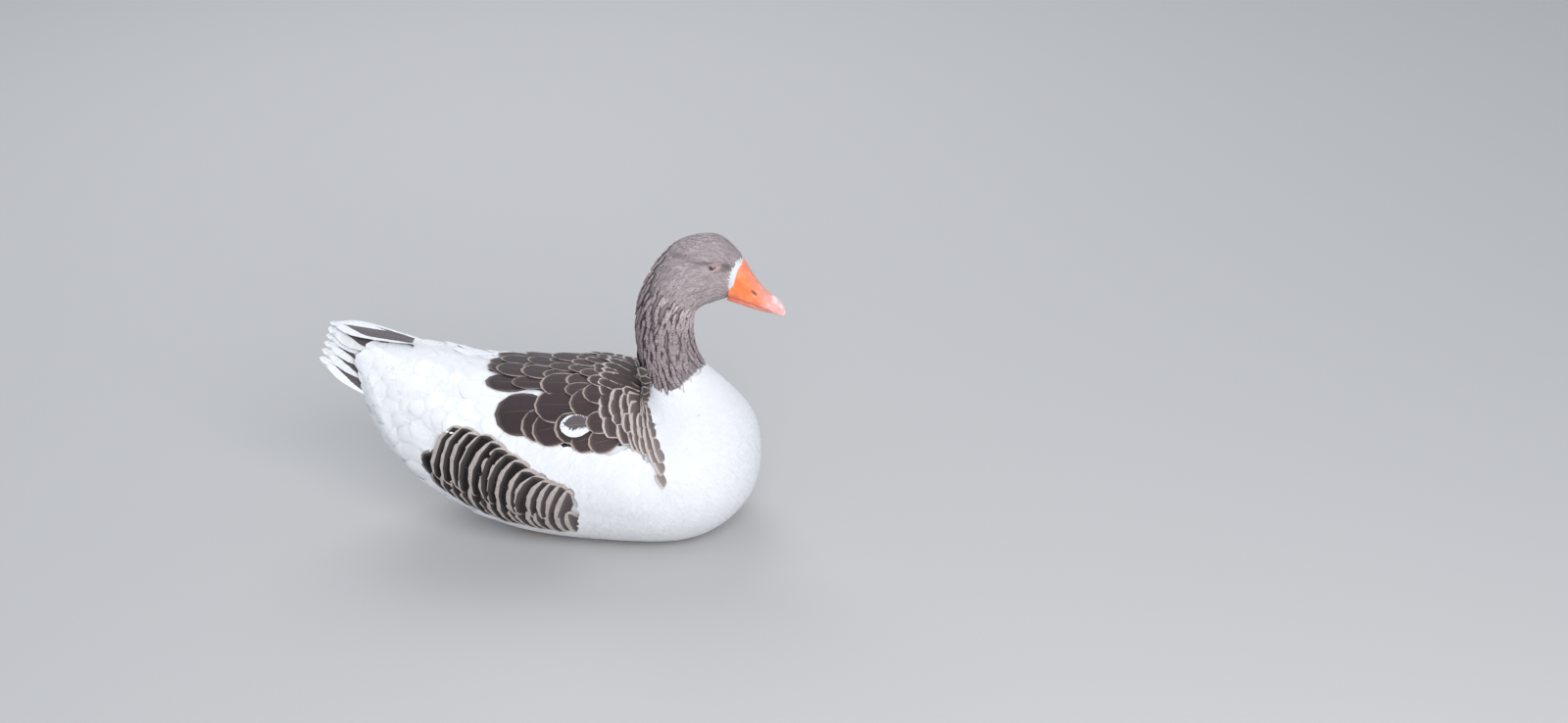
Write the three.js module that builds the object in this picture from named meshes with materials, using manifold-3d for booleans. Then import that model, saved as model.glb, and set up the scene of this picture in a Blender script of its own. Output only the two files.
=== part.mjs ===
// A domestic goose of the saddleback kind, sitting on its belly with its head up and its feet tucked under it.
// Millimetres. +X runs from the tail to the breast, +Y to the bird's left, +Z up. The origin is on the belly's flat.
// Trunk, neck and head are one hull of rings, parted by thin cuts. Each ring stands in a plane along the Y axis, and
// runs from a point on the back line to one on the belly line, so the rings fan round the breast and the face.

import * as THREE from 'three';
import { mergeVertices } from 'three/addons/utils/BufferGeometryUtils.js';
import Module from 'manifold-3d';

const wasm = await Module();
wasm.setup();

// ---- Driving dimensions ----

const GAP = 0.35;                  // clearance between parts that touch
const FLOOR = 0;                   // level of the floor that the belly and the feet rest on

// The hull's rings, from the tail to the face. back and belly are [x, z]; half is the half width; full is 1 for an
// ellipse, and less for a ring with fuller shoulders.
const RINGS = [
  { name: 'tail coverts', back: [-306, 257], belly: [-312, 236], half: 23, full: 1 },
  { name: 'vent', back: [-270, 255], belly: [-287, 172], half: 49, full: 1 },
  { name: 'rump', back: [-220, 241], belly: [-253, 99], half: 76, full: 1 },
  { name: 'hip', back: [-148, 224], belly: [-181, 40], half: 104, full: 0.98 },
  { name: 'thigh', back: [-62, 219], belly: [-86, 1], half: 126, full: 0.95 },
  { name: 'waist', back: [22, 220], belly: [34, -11], half: 133, full: 0.94 },
  { name: 'shoulder', back: [66, 209], belly: [150, -3], half: 129, full: 0.93 },
  { name: 'low breast', back: [78, 200], belly: [217, 50], half: 118, full: 0.95 },
  { name: 'breast', back: [81, 200], belly: [228, 126], half: 92, full: 0.99 },
  { name: 'high breast', back: [79, 213], belly: [199, 184], half: 60, full: 1 },
  { name: 'neck root', back: [74, 242], belly: [161, 231], half: 43, full: 1 },
  { name: 'mid neck', back: [71, 284], belly: [149, 271], half: 39, full: 1 },
  { name: 'nape', back: [83, 339], belly: [152, 300], half: 38.5, full: 0.98 },
  { name: 'hindcrown', back: [124, 394], belly: [163, 313], half: 38, full: 0.94 },
  { name: 'brow', back: [177, 409], belly: [179, 320], half: 33, full: 0.94 },
  { name: 'forehead', back: [207, 389], belly: [191, 324], half: 23.5, full: 0.97 },
  { name: 'bill base', back: [219, 367], belly: [199, 328], half: 17, full: 1 },
];
const NECK_FROM = 9.5;             // ring numbers of the cuts below and above the neck
const NECK_TO = 12.2;
const FACE_TO = 15.5;              // ring number where the feathers of the face end
const CUT = 0.008;                 // half a gap, in ring numbers

const EYE_RADIUS = 7.6;
const EYE = [178.5, 25.6, 376.3];      // centre of the left eye

const BILL_RIDGE = [[210, 388], [220, 362], [241, 347], [268, 315]];  // control points, forehead to nail, as [x, z]
const BILL_EDGE = [[188, 336.7], [262, 307.7]];    // line of the mouth, from inside the cheek to the tip
const BILL_HALF = 19;
const NAIL_DROP = 6;               // how far the nail hooks down at the tip
const JAW_SHARE = 0.87;            // length of the lower mandible, as a share of the upper one
const JAW_DEPTH = 11;

const WING_FRONT = 6.15;           // ring numbers where the folded wing starts and ends
const WING_TIP = 1.3;
const WING_OUT = 9;                // how far the wing stands out of the trunk
const WING_RIM = 1.8;              // how far its edges stand out
const WING_IN = 4;                 // how far its rough inside reaches in, before it is cut to the trunk

const TAIL_FEATHERS = 12;
const TAIL_ROOT = [-248, 40, 243, 60];     // where the vanes start: x, half width, height, and drop at the sides
const TAIL_TIP = [-331, 44, 268, 25];      // where they end
const VANE = 1.4;                  // thickness of a tail feather with its neighbours' edges

const HEEL_X = -80;
const ANKLE_X = -4;
const FOOT_Y = 40;                 // how far each foot lies from the middle
const FOOT_LENGTH = 88;
const TOE_SPREAD = 15;             // degrees between the middle toe and each outer one

// ---- Curves, rings and closed meshes ----

const RING_ROWS = RINGS.map(({ back, belly, half, full }) => [...back, ...belly, half, full]);

function steps(from, to, count) {
  return Array.from({ length: count + 1 }, (_, i) => from + ((to - from) * i) / count);
}

function lerp2([a, b], t) {
  return [a[0] + (b[0] - a[0]) * t, a[1] + (b[1] - a[1]) * t];
}

// The ring at a ring number that needn't be whole, on a smooth curve through the table's rows.
function ringAt(s) {
  const last = RING_ROWS.length - 1;
  const i = THREE.MathUtils.clamp(Math.floor(s), 0, last - 1);
  const t = s - i;
  const [a, b, c, d] = [-1, 0, 1, 2].map((k) => RING_ROWS[THREE.MathUtils.clamp(i + k, 0, last)]);
  return b.map((value, k) => {
    const [slopeB, slopeC] = [(c[k] - a[k]) / 2, (d[k] - value) / 2];
    const blend = 3 * t ** 2 - 2 * t ** 3;
    return value + (c[k] - value) * blend + slopeB * (t ** 3 - 2 * t ** 2 + t) + slopeC * (t ** 3 - t ** 2);
  });
}

// A point of a ring: angle 0 is its back, a half turn its belly, and a quarter turn the bird's left.
function ringPoint(s, angle) {
  const [backX, backZ, bellyX, bellyZ, half, full] = ringAt(s);
  const along = Math.sign(Math.cos(angle)) * Math.abs(Math.cos(angle)) ** full;
  const across = Math.sign(Math.sin(angle)) * Math.abs(Math.sin(angle)) ** full;
  return new THREE.Vector3(
    (backX + bellyX) / 2 + ((backX - bellyX) / 2) * along,
    half * across,
    (backZ + bellyZ) / 2 + ((backZ - bellyZ) / 2) * along,
  );
}

// A point of the hull, moved out along the hull's normal.
function hullPoint(s, angle, out = 0) {
  if (out === 0) return ringPoint(s, angle);
  const step = 0.02;
  const high = Math.min(s + step, RINGS.length - 1);
  const forward = ringPoint(high, angle).sub(ringPoint(high - 2 * step, angle));
  const round = ringPoint(s, angle + step).sub(ringPoint(s, angle - step));
  return ringPoint(s, angle).add(forward.cross(round).normalize().multiplyScalar(out));
}

// A closed geometry from a list of closed loops of points, with a fan over each end.
function lofted(loops) {
  const n = loops[0].length;
  const positions = loops.flat();
  const faces = [];
  for (let i = 0; i + 1 < loops.length; i += 1) {
    for (let j = 0; j < n; j += 1) {
      const a = i * n + j;
      const b = i * n + ((j + 1) % n);
      faces.push(a, b, b + n, a, b + n, a + n);
    }
  }
  const addCap = (loop, start, flip) => {
    const centre = positions.length;
    positions.push(loop.reduce((sum, p) => sum.add(p), new THREE.Vector3()).divideScalar(n));
    for (let j = 0; j < n; j += 1) {
      const pair = [start + j, start + ((j + 1) % n)];
      faces.push(centre, ...(flip ? pair.reverse() : pair));
    }
  };
  addCap(loops[0], 0, true);
  addCap(loops.at(-1), (loops.length - 1) * n, false);
  return new THREE.BufferGeometry().setFromPoints(positions).setIndex(faces);
}

// A closed slab between two grids of points that share their size, such as a wing or a feather.
function slab(upper, lower) {
  return lofted(upper.map((row, i) => [...row, ...[...lower[i]].reverse()]));
}

// A stretch of the hull between two ring numbers, moved out all round, and at both ends, by out.
function hull(from, to, rings, sides, out = 0) {
  const loops = steps(from, to, rings).map(
    (s) => steps(0, 2 * Math.PI, sides).slice(0, -1).map((angle) => hullPoint(s, angle, out)),
  );
  const pushEnd = (loop, beside) => {
    const ahead = loop[0].clone().sub(beside[0]).normalize().multiplyScalar(2 * out);
    loop.forEach((p) => p.add(ahead));
  };
  pushEnd(loops[0], loops[1]);
  pushEnd(loops.at(-1), loops.at(-2));
  return lofted(loops);
}

// ---- Solids for cutting and joining ----

// A geometry as a manifold-3d solid, with its faces turned outwards.
function solid(geometry) {
  const bare = geometry.clone();
  bare.deleteAttribute('normal');
  bare.deleteAttribute('uv');
  const merged = mergeVertices(bare, 1e-4);
  const order = Array.from(merged.index.array);
  const make = (triVerts) => new wasm.Manifold(new wasm.Mesh({
    numProp: 3,
    vertProperties: merged.attributes.position.array,
    triVerts: new Uint32Array(triVerts),
  }));
  const made = make(order);
  return made.volume() < 0 ? make(order.reverse()) : made;
}

function geometryOf(body) {
  const { vertProperties, triVerts } = body.getMesh();
  return new THREE.BufferGeometry()
    .setAttribute('position', new THREE.BufferAttribute(new Float32Array(vertProperties), 3))
    .setIndex(new THREE.BufferAttribute(triVerts, 1));
}

// ---- Bill ----

// How wide the bill still is at share t of its length: a slow taper that closes round at the nail.
function billTaper(t) {
  return (1 - 0.25 * t) * Math.sqrt(1 - (0.93 * t) ** 3.5);
}

// A half-round section: an arch from the mouth line to its crown, closed by a flat across the mouth.
function archLoop(edge, crown, half, sides) {
  return steps(-Math.PI / 2, Math.PI / 2, sides).map((angle) => {
    const rise = Math.max(0, Math.cos(angle)) ** 0.85;
    return new THREE.Vector3(
      edge[0] + (crown[0] - edge[0]) * rise,
      half * Math.sin(angle),
      edge[1] + (crown[1] - edge[1]) * rise,
    );
  });
}

function upperMandible() {
  const ridge = new THREE.CubicBezierCurve(...BILL_RIDGE.map(([x, z]) => new THREE.Vector2(x, z)));
  return lofted(steps(0, 1, 13).map((t) => {
    const hook = NAIL_DROP * Math.max(0, (t - JAW_SHARE) / (1 - JAW_SHARE)) ** 1.5;
    const [edgeX, edgeZ] = lerp2(BILL_EDGE, t);
    const crown = ridge.getPoint(t);
    return archLoop([edgeX, edgeZ - hook], [crown.x, crown.y], BILL_HALF * billTaper(t), 12);
  }));
}

function lowerMandible() {
  return lofted(steps(0, JAW_SHARE, 11).map((t) => {
    const [edgeX, edgeZ] = lerp2(BILL_EDGE, t);
    const depth = (JAW_DEPTH - 3 * t) * Math.sqrt(1 - 0.7 * (t / JAW_SHARE) ** 8);
    const half = 0.86 * BILL_HALF * (1 - 0.3 * t) * Math.sqrt(1 - 0.6 * (t / JAW_SHARE) ** 6);
    const top = edgeZ - 2 * GAP;
    return archLoop([edgeX, top], [edgeX - 0.2 * depth, top - depth], half, 10);
  }));
}

// ---- Wings ----

// The folded wing's upper edge runs under the shoulder feathers, and its lower edge over the thigh. Both close to
// a round shoulder at t = 1 and a narrow tip at t = 0.
function wingEdges(t) {
  const fold = Math.sqrt(Math.max(0, 1 - Math.max(0, (t - 0.74) / 0.26) ** 2));
  const point = Math.min(1, t / 0.35) ** 0.7;
  const open = 0.14 + 0.86 * Math.min(fold, point);
  const [middle, above, below] = [40 + 38 * t, 9 + 27 * t, 25 + 14 * t].map(THREE.MathUtils.degToRad);
  return [middle - above * open, middle + below * open];
}

function wing(side) {
  const [along, across] = [20, 8];
  const grid = (outer) => steps(0, 1, along).map((t) => {
    const end = Math.min(1, 7 * t + 0.1, 9 * (1 - t) + 0.1);
    const [high, low] = wingEdges(t);
    return steps(0, 1, across).map((u) => {
      const swell = Math.sin(Math.PI * THREE.MathUtils.clamp(u, 0.02, 0.98)) ** 0.6;
      const lift = outer ? WING_RIM + (WING_OUT - WING_RIM) * swell * end : -WING_IN;
      return hullPoint(WING_TIP + (WING_FRONT - WING_TIP) * t, side * (high + (low - high) * u), lift);
    });
  });
  return slab(grid(true), grid(false));
}

// ---- Tail ----

// One tail feather: a shallow roof of a vane with a rounded tip. share runs from -1 at the right to 1 at the left,
// and the fan drops at its sides, so that it closes round the vent.
function tailFeather(share) {
  const end = ([x, half, height, drop]) => new THREE.Vector3(
    x - 4 * share ** 2,
    half * share,
    height - drop * Math.abs(share) ** 1.5,
  );
  const [root, tip] = [TAIL_ROOT, TAIL_TIP].map(end);
  const length = root.distanceTo(tip);
  const ahead = tip.clone().sub(root).normalize();
  const slope = -Math.sign(share) * Math.sqrt(Math.abs(share));
  const beside = new THREE.Vector3(0, 1, slope).projectOnPlane(ahead).normalize();
  const above = beside.clone().cross(ahead).normalize();
  const layer = 1.1 * (1 - Math.abs(share));
  const outline = [0, 0.55, 0.8, 0.93, 1].map((t) => {
    const round = Math.sqrt(Math.max(0, 1 - Math.max(0, (t - 0.7) / 0.3) ** 2.4));
    const half = (8 + 7 * Math.sin((Math.PI / 2) * Math.min(1, t / 0.7))) * Math.max(0.12, round);
    const sag = 3 * Math.sin(Math.PI * t);
    const centre = root.clone().addScaledVector(ahead, t * length).addScaledVector(above, layer - sag);
    return { half, centre };
  });
  const grid = (lift) => outline.map(({ half, centre }) => [-1, 0, 1].map((u) => centre.clone()
    .addScaledVector(beside, u * half)
    .addScaledVector(above, lift - 1.6 * u * u)));
  return slab(grid(VANE / 2), grid(-VANE / 2));
}

// ---- Legs and feet ----

// The shank lies along the floor under the belly, with the heel behind. spread widens it, to cut its bed.
function leg(side, spread = 0) {
  const radii = [9.5, 8.5, 7.5, 7.5, 8.5].map((r) => r + spread);
  const stations = steps(HEEL_X - spread, ANKLE_X - GAP + spread, radii.length - 1);
  return lofted(stations.map((x, i) => steps(0, 2 * Math.PI, 12).slice(0, -1).map((angle) => new THREE.Vector3(
    x,
    side * FOOT_Y + radii[i] * Math.cos(angle),
    Math.max(FLOOR - spread, radii[i] * (0.8 + Math.sin(angle))),
  ))));
}

// The half-closed foot: three toes joined by a web, drawn as one outline and given the toes' thickness.
function foot(side, spread = 0) {
  const [toeHalf, toeDepth, toeTip, webReach] = [5, 7, 8, 0.72];
  const at = (reach, turn, beside) => [
    reach * Math.cos(turn) - beside * Math.sin(turn),
    reach * Math.sin(turn) + beside * Math.cos(turn),
  ];
  const turn = THREE.MathUtils.degToRad(TOE_SPREAD);
  const wide = toeHalf + spread;
  const shape = new THREE.Shape();
  shape.moveTo(...at(-spread, 0, -wide - 3));
  [[-turn, 0.86], [0, 1], [turn, 0.9]].forEach(([way, share], i) => {
    const reach = share * FOOT_LENGTH;
    if (i > 0) shape.lineTo(...at(webReach * FOOT_LENGTH + 3 * spread, way - turn / 2, 0));
    shape.lineTo(...at(reach - toeTip, way, -wide));
    shape.lineTo(...at(reach + 2 * spread, way, 0));
    shape.lineTo(...at(reach - toeTip, way, wide));
  });
  shape.lineTo(...at(-spread, 0, wide + 3));
  shape.closePath();
  return new THREE.ExtrudeGeometry(shape, { depth: toeDepth + 2 * spread, bevelEnabled: false })
    .translate(ANKLE_X, side * FOOT_Y, FLOOR - spread);
}

// ---- Parts ----

const finishes = {
  whiteFeather: { color: 0xe9e8e6, roughness: 0.85 },
  greyFeather: { color: 0x7d6f68, roughness: 0.9 },
  bill: { color: 0xee6f2c, roughness: 0.45 },
  jaw: { color: 0xe88a72, roughness: 0.5 },
  eye: { color: 0x4b5a66, roughness: 0.1 },
  web: { color: 0xe0782f, roughness: 0.6 },
};

const goose = new THREE.Group();

// Adds a solid to the group under its name, without the crumbs that a cut may leave.
function addPart(name, body, finish) {
  const largest = body.decompose().reduce((a, b) => (a.volume() > b.volume() ? a : b));
  const mesh = new THREE.Mesh(geometryOf(largest), new THREE.MeshStandardMaterial({ metalness: 0, ...finish }));
  mesh.name = name;
  goose.add(mesh);
}

const TRUNK_MESH = [33, 28];       // rings and sides of each stretch of the hull
const NECK_MESH = [13, 24];
const HEAD_MESH = [17, 22];
const SIDES = { left: 1, right: -1 };
const BED = 1;                     // clearance of a leg or foot in the belly feathers

const underFloor = new THREE.BoxGeometry(1000, 600, 100).translate(0, 0, FLOOR - 50);
const trunkWithGap = solid(hull(0, NECK_FROM, ...TRUNK_MESH, GAP));
const faceWithGap = solid(hull(NECK_TO, FACE_TO, ...HEAD_MESH, GAP));

let trunk = solid(hull(0, NECK_FROM - CUT, ...TRUNK_MESH)).subtract(solid(underFloor));
let head = solid(hull(NECK_TO + CUT, FACE_TO, ...HEAD_MESH));
for (const [name, side] of Object.entries(SIDES)) {
  const [eyeX, eyeY, eyeZ] = EYE;
  const eyeball = (radius) => solid(
    new THREE.SphereGeometry(radius, 12, 8).translate(eyeX, side * eyeY, eyeZ),
  );
  trunk = trunk.subtract(solid(leg(side, BED))).subtract(solid(foot(side, BED)));
  head = head.subtract(eyeball(EYE_RADIUS + GAP));
  addPart(`eye_${name}`, eyeball(EYE_RADIUS), finishes.eye);
  addPart(`wing_${name}`, solid(wing(side)).subtract(trunkWithGap), finishes.whiteFeather);
  addPart(`leg_${name}`, solid(leg(side)), finishes.web);
  addPart(`foot_${name}`, solid(foot(side)), finishes.web);
}
addPart('trunk', trunk, finishes.whiteFeather);
addPart('neck', solid(hull(NECK_FROM + CUT, NECK_TO - CUT, ...NECK_MESH)), finishes.greyFeather);
addPart('head', head, finishes.greyFeather);
addPart('bill_upper', solid(upperMandible()).subtract(faceWithGap), finishes.bill);
addPart('bill_lower', solid(lowerMandible()).subtract(faceWithGap), finishes.jaw);

const fan = steps(-1, 1, TAIL_FEATHERS - 1)
  .map((share) => solid(tailFeather(share)))
  .reduce((all, one) => all.add(one));
addPart('tail', fan.subtract(trunkWithGap), finishes.whiteFeather);

export default goose;
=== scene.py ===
"""Looks of a sitting saddleback goose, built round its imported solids.

The frame is the solids' own: +X to the breast, +Y to the bird's left, +Z up. Shapes are worked out in mm
and made in metres. One skin stands for the flesh. The coat is laid over it in tracts of solid vanes by one
Geometry Nodes tree, from rows or scatters of roots.
"""

import logging
import math
from dataclasses import dataclass, field
from enum import Enum
from typing import Sequence

import bpy
import numpy as np
from mathutils import Matrix, Vector
from mathutils.kdtree import KDTree


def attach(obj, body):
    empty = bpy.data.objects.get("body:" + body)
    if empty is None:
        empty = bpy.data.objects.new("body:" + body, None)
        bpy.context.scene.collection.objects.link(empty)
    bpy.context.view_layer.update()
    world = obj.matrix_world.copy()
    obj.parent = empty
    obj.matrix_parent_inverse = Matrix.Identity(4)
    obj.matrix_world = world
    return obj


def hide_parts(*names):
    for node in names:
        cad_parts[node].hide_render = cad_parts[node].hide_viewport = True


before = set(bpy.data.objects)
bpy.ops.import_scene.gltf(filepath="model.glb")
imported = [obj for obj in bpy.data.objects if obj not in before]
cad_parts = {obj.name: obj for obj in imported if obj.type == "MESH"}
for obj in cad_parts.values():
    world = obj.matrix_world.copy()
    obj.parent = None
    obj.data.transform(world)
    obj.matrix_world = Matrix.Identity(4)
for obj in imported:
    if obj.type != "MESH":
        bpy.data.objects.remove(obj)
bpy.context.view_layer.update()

log = logging.getLogger("goose")
MM = 0.001
PI = math.pi
Array = np.ndarray
Colour = tuple[float, float, float, float]
Pair, Triple = tuple[float, float], tuple[float, float, float]
Pairs = Sequence[Pair]
# Two arrays of places on the skin, and a closed solid as its points and faces.
Arrays, Solid = tuple[Array, Array], tuple[Array, list]
Piece, Material = bpy.types.Object, bpy.types.Material
Tree, Node, Socket = bpy.types.NodeTree, bpy.types.Node, bpy.types.NodeSocket


def linear(sheet: str) -> Colour:
    """Turns an sRGB hex value, "#rrggbb", to linear red, green, blue and alpha."""
    parts = [int(sheet[i:i + 2], 16) / 255 for i in (1, 3, 5)]
    r, g, b = (c / 12.92 if c <= 0.04045 else ((c + 0.055) / 1.055) ** 2.4 for c in parts)
    return (r, g, b, 1.0)


def smooth(low: float, high: float, value: Array) -> Array:
    """A smooth step from 0 at low to 1 at high, for each number."""
    t = np.clip((value - low) / (high - low), 0, 1)
    return t * t * (3 - 2 * t)


def bump(value: Array, middle: float, reach: float) -> Array:
    """A bell of height 1 round middle, reach wide."""
    return np.exp(-(((value - middle) / reach) ** 2))


def unit(vectors: Array) -> Array:
    """Vectors brought to length 1."""
    return vectors / np.maximum(np.linalg.norm(vectors, axis=-1, keepdims=True), 1e-12)


def blend(share: Array, *stops: tuple[float, str]) -> Array:
    """Colours along a run of stops, in linear light."""
    at, colours = zip(*stops)
    rows = np.array([linear(c) for c in colours])
    return np.stack([np.interp(share, at, rows[:, k]) for k in range(4)], -1)


def look_up(pairs: Pairs, at: Array) -> Array:
    """Reads a table of (place, value) pairs, with straight lines between them."""
    return np.interp(at, *np.array(pairs, float).T)


# ---- The body's shape ----


@dataclass(frozen=True)
class Ring:
    """One ring of the body's outline: its (x, z) on the back and belly lines and its half width, in mm.

    Its fullness is 1 where the ring is round, and less where it is squarer.
    """

    name: str
    back: Pair
    belly: Pair
    half: float
    full: float = 1.0


RINGS = (
    Ring("tail coverts", (-306, 257), (-312, 236), 23),
    Ring("vent", (-270, 255), (-287, 172), 49),
    Ring("rump", (-220, 241), (-253, 99), 76),
    Ring("hip", (-148, 224), (-181, 40), 104, 0.98),
    Ring("thigh", (-62, 219), (-86, 1), 126, 0.95),
    Ring("waist", (22, 220), (34, -11), 133, 0.94),
    Ring("shoulder", (66, 209), (150, -3), 129, 0.93),
    Ring("low breast", (78, 200), (217, 50), 118, 0.95),
    Ring("breast", (81, 200), (228, 126), 92, 0.99),
    Ring("high breast", (79, 213), (199, 184), 60),
    Ring("neck root", (74, 242), (161, 231), 43),
    Ring("mid neck", (71, 284), (149, 271), 39),
    Ring("nape", (83, 339), (152, 300), 38.5, 0.98),
    Ring("hindcrown", (124, 394), (163, 313), 38, 0.94),
    Ring("brow", (177, 409), (179, 320), 33, 0.94),
    Ring("forehead", (207, 389), (191, 324), 23.5, 0.97),
    Ring("bill base", (219, 367), (199, 328), 17),
)
# Ring numbers: the last of the trunk's markings, the last that a place is looked for on, and the face's end.
TRUNK_TO = 9.9
CHART_TO = 9.8
FACE_TO = 15.72
EYE = (178.5, 25.6, 376.3)
EYE_RADIUS = 7.6


class Hull:
    """The bird's outline as a smooth loft of rings, with a folded wing's swell on each side."""

    wing_from = 1.3
    wing_to = 6.15
    wing_out = 8.0
    axis_z = 130.0

    def __init__(self, rings: Sequence[Ring]) -> None:
        """Keeps the rings, from the tail to the face, as rows of numbers."""
        self.rows = np.array([[*r.back, *r.belly, r.half, r.full] for r in rings], float)

    def rows_at(self, s: Array) -> Array:
        """Rows at ring numbers that needn't be whole, on smooth curves through the table's rows."""
        last = len(self.rows) - 1
        i = np.clip(np.floor(s).astype(int), 0, last - 1)
        t = (s - i)[..., None]
        a, b, c, d = (self.rows[np.clip(i + k, 0, last)] for k in (-1, 0, 1, 2))
        eased = 3 * t**2 - 2 * t**3
        slopes = (c - a) / 2 * (t**3 - 2 * t**2 + t) + (d - b) / 2 * (t**3 - t**2)
        return b + (c - b) * eased + slopes

    def point(self, s: Array, angle: Array) -> Array:
        """Points of the loft in mm: angle 0 is the back, a quarter turn the left, a half turn the belly."""
        s, angle = np.broadcast_arrays(np.asarray(s, float), np.asarray(angle, float))
        row = self.rows_at(s)
        c, n, full = np.cos(angle), np.sin(angle), row[..., 5]
        along = np.sign(c) * np.abs(c) ** full
        across = np.sign(n) * np.abs(n) ** full
        middle, reach = (row[..., 0:2] + row[..., 2:4]) / 2, (row[..., 0:2] - row[..., 2:4]) / 2
        flat = middle + reach * along[..., None]
        return np.stack([flat[..., 0], row[..., 4] * across, flat[..., 1]], -1)

    def axes(self, s: Array, angle: Array) -> Arrays:
        """The outward normal, and the way towards the bill, at points of the loft."""
        step = 0.02
        high = np.minimum(s + step, len(self.rows) - 1)
        ahead = self.point(high, angle) - self.point(high - 2 * step, angle)
        round_ = self.point(s, angle + step) - self.point(s, angle - step)
        return unit(np.cross(ahead, round_)), unit(ahead)

    def wing_swell(self, s: Array, angle: Array) -> Array:
        """How far the folded wing stands out of the loft, in mm."""
        t = np.clip((s - self.wing_from) / (self.wing_to - self.wing_from), 0, 1)
        fold = np.sqrt(np.maximum(0, 1 - np.maximum(0, (t - 0.74) / 0.26) ** 2))
        opened = 0.14 + 0.86 * np.minimum(fold, np.minimum(1, t / 0.35) ** 0.7)
        middle, above, below = (np.radians(v) for v in (40 + 38 * t, 9 + 27 * t, 25 + 14 * t))
        high, low = middle - above * opened, middle + below * opened
        u = np.clip((np.abs(angle) - high) / (low - high), 0, 1)
        end = np.clip(np.minimum(6 * t, 8 * (1 - t)), 0, 1)
        return self.wing_out * np.sin(PI * u) ** 0.8 * end

    def bearing(self, points: Array) -> Array:
        """Degrees round the body's long axis, 0 on the back and 90 at a side, for points in mm."""
        return np.degrees(np.arctan2(np.abs(points[..., 1]), points[..., 2] - self.axis_z))


HULL = Hull(RINGS)


def inside(outline: Pairs, u: Array, v: Array) -> Array:
    """Which points, as their first and second coordinates, lie inside a closed outline."""
    hit = np.zeros(u.shape, bool)
    for (u0, v0), (u1, v1) in zip(outline, (*outline[1:], outline[0])):
        crosses = (v0 > v) != (v1 > v)
        at = u0 + (v - v0) * (u1 - u0) / (v1 - v0 if v1 != v0 else 1e-9)
        hit ^= crosses & (u < at)
    return hit


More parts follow.
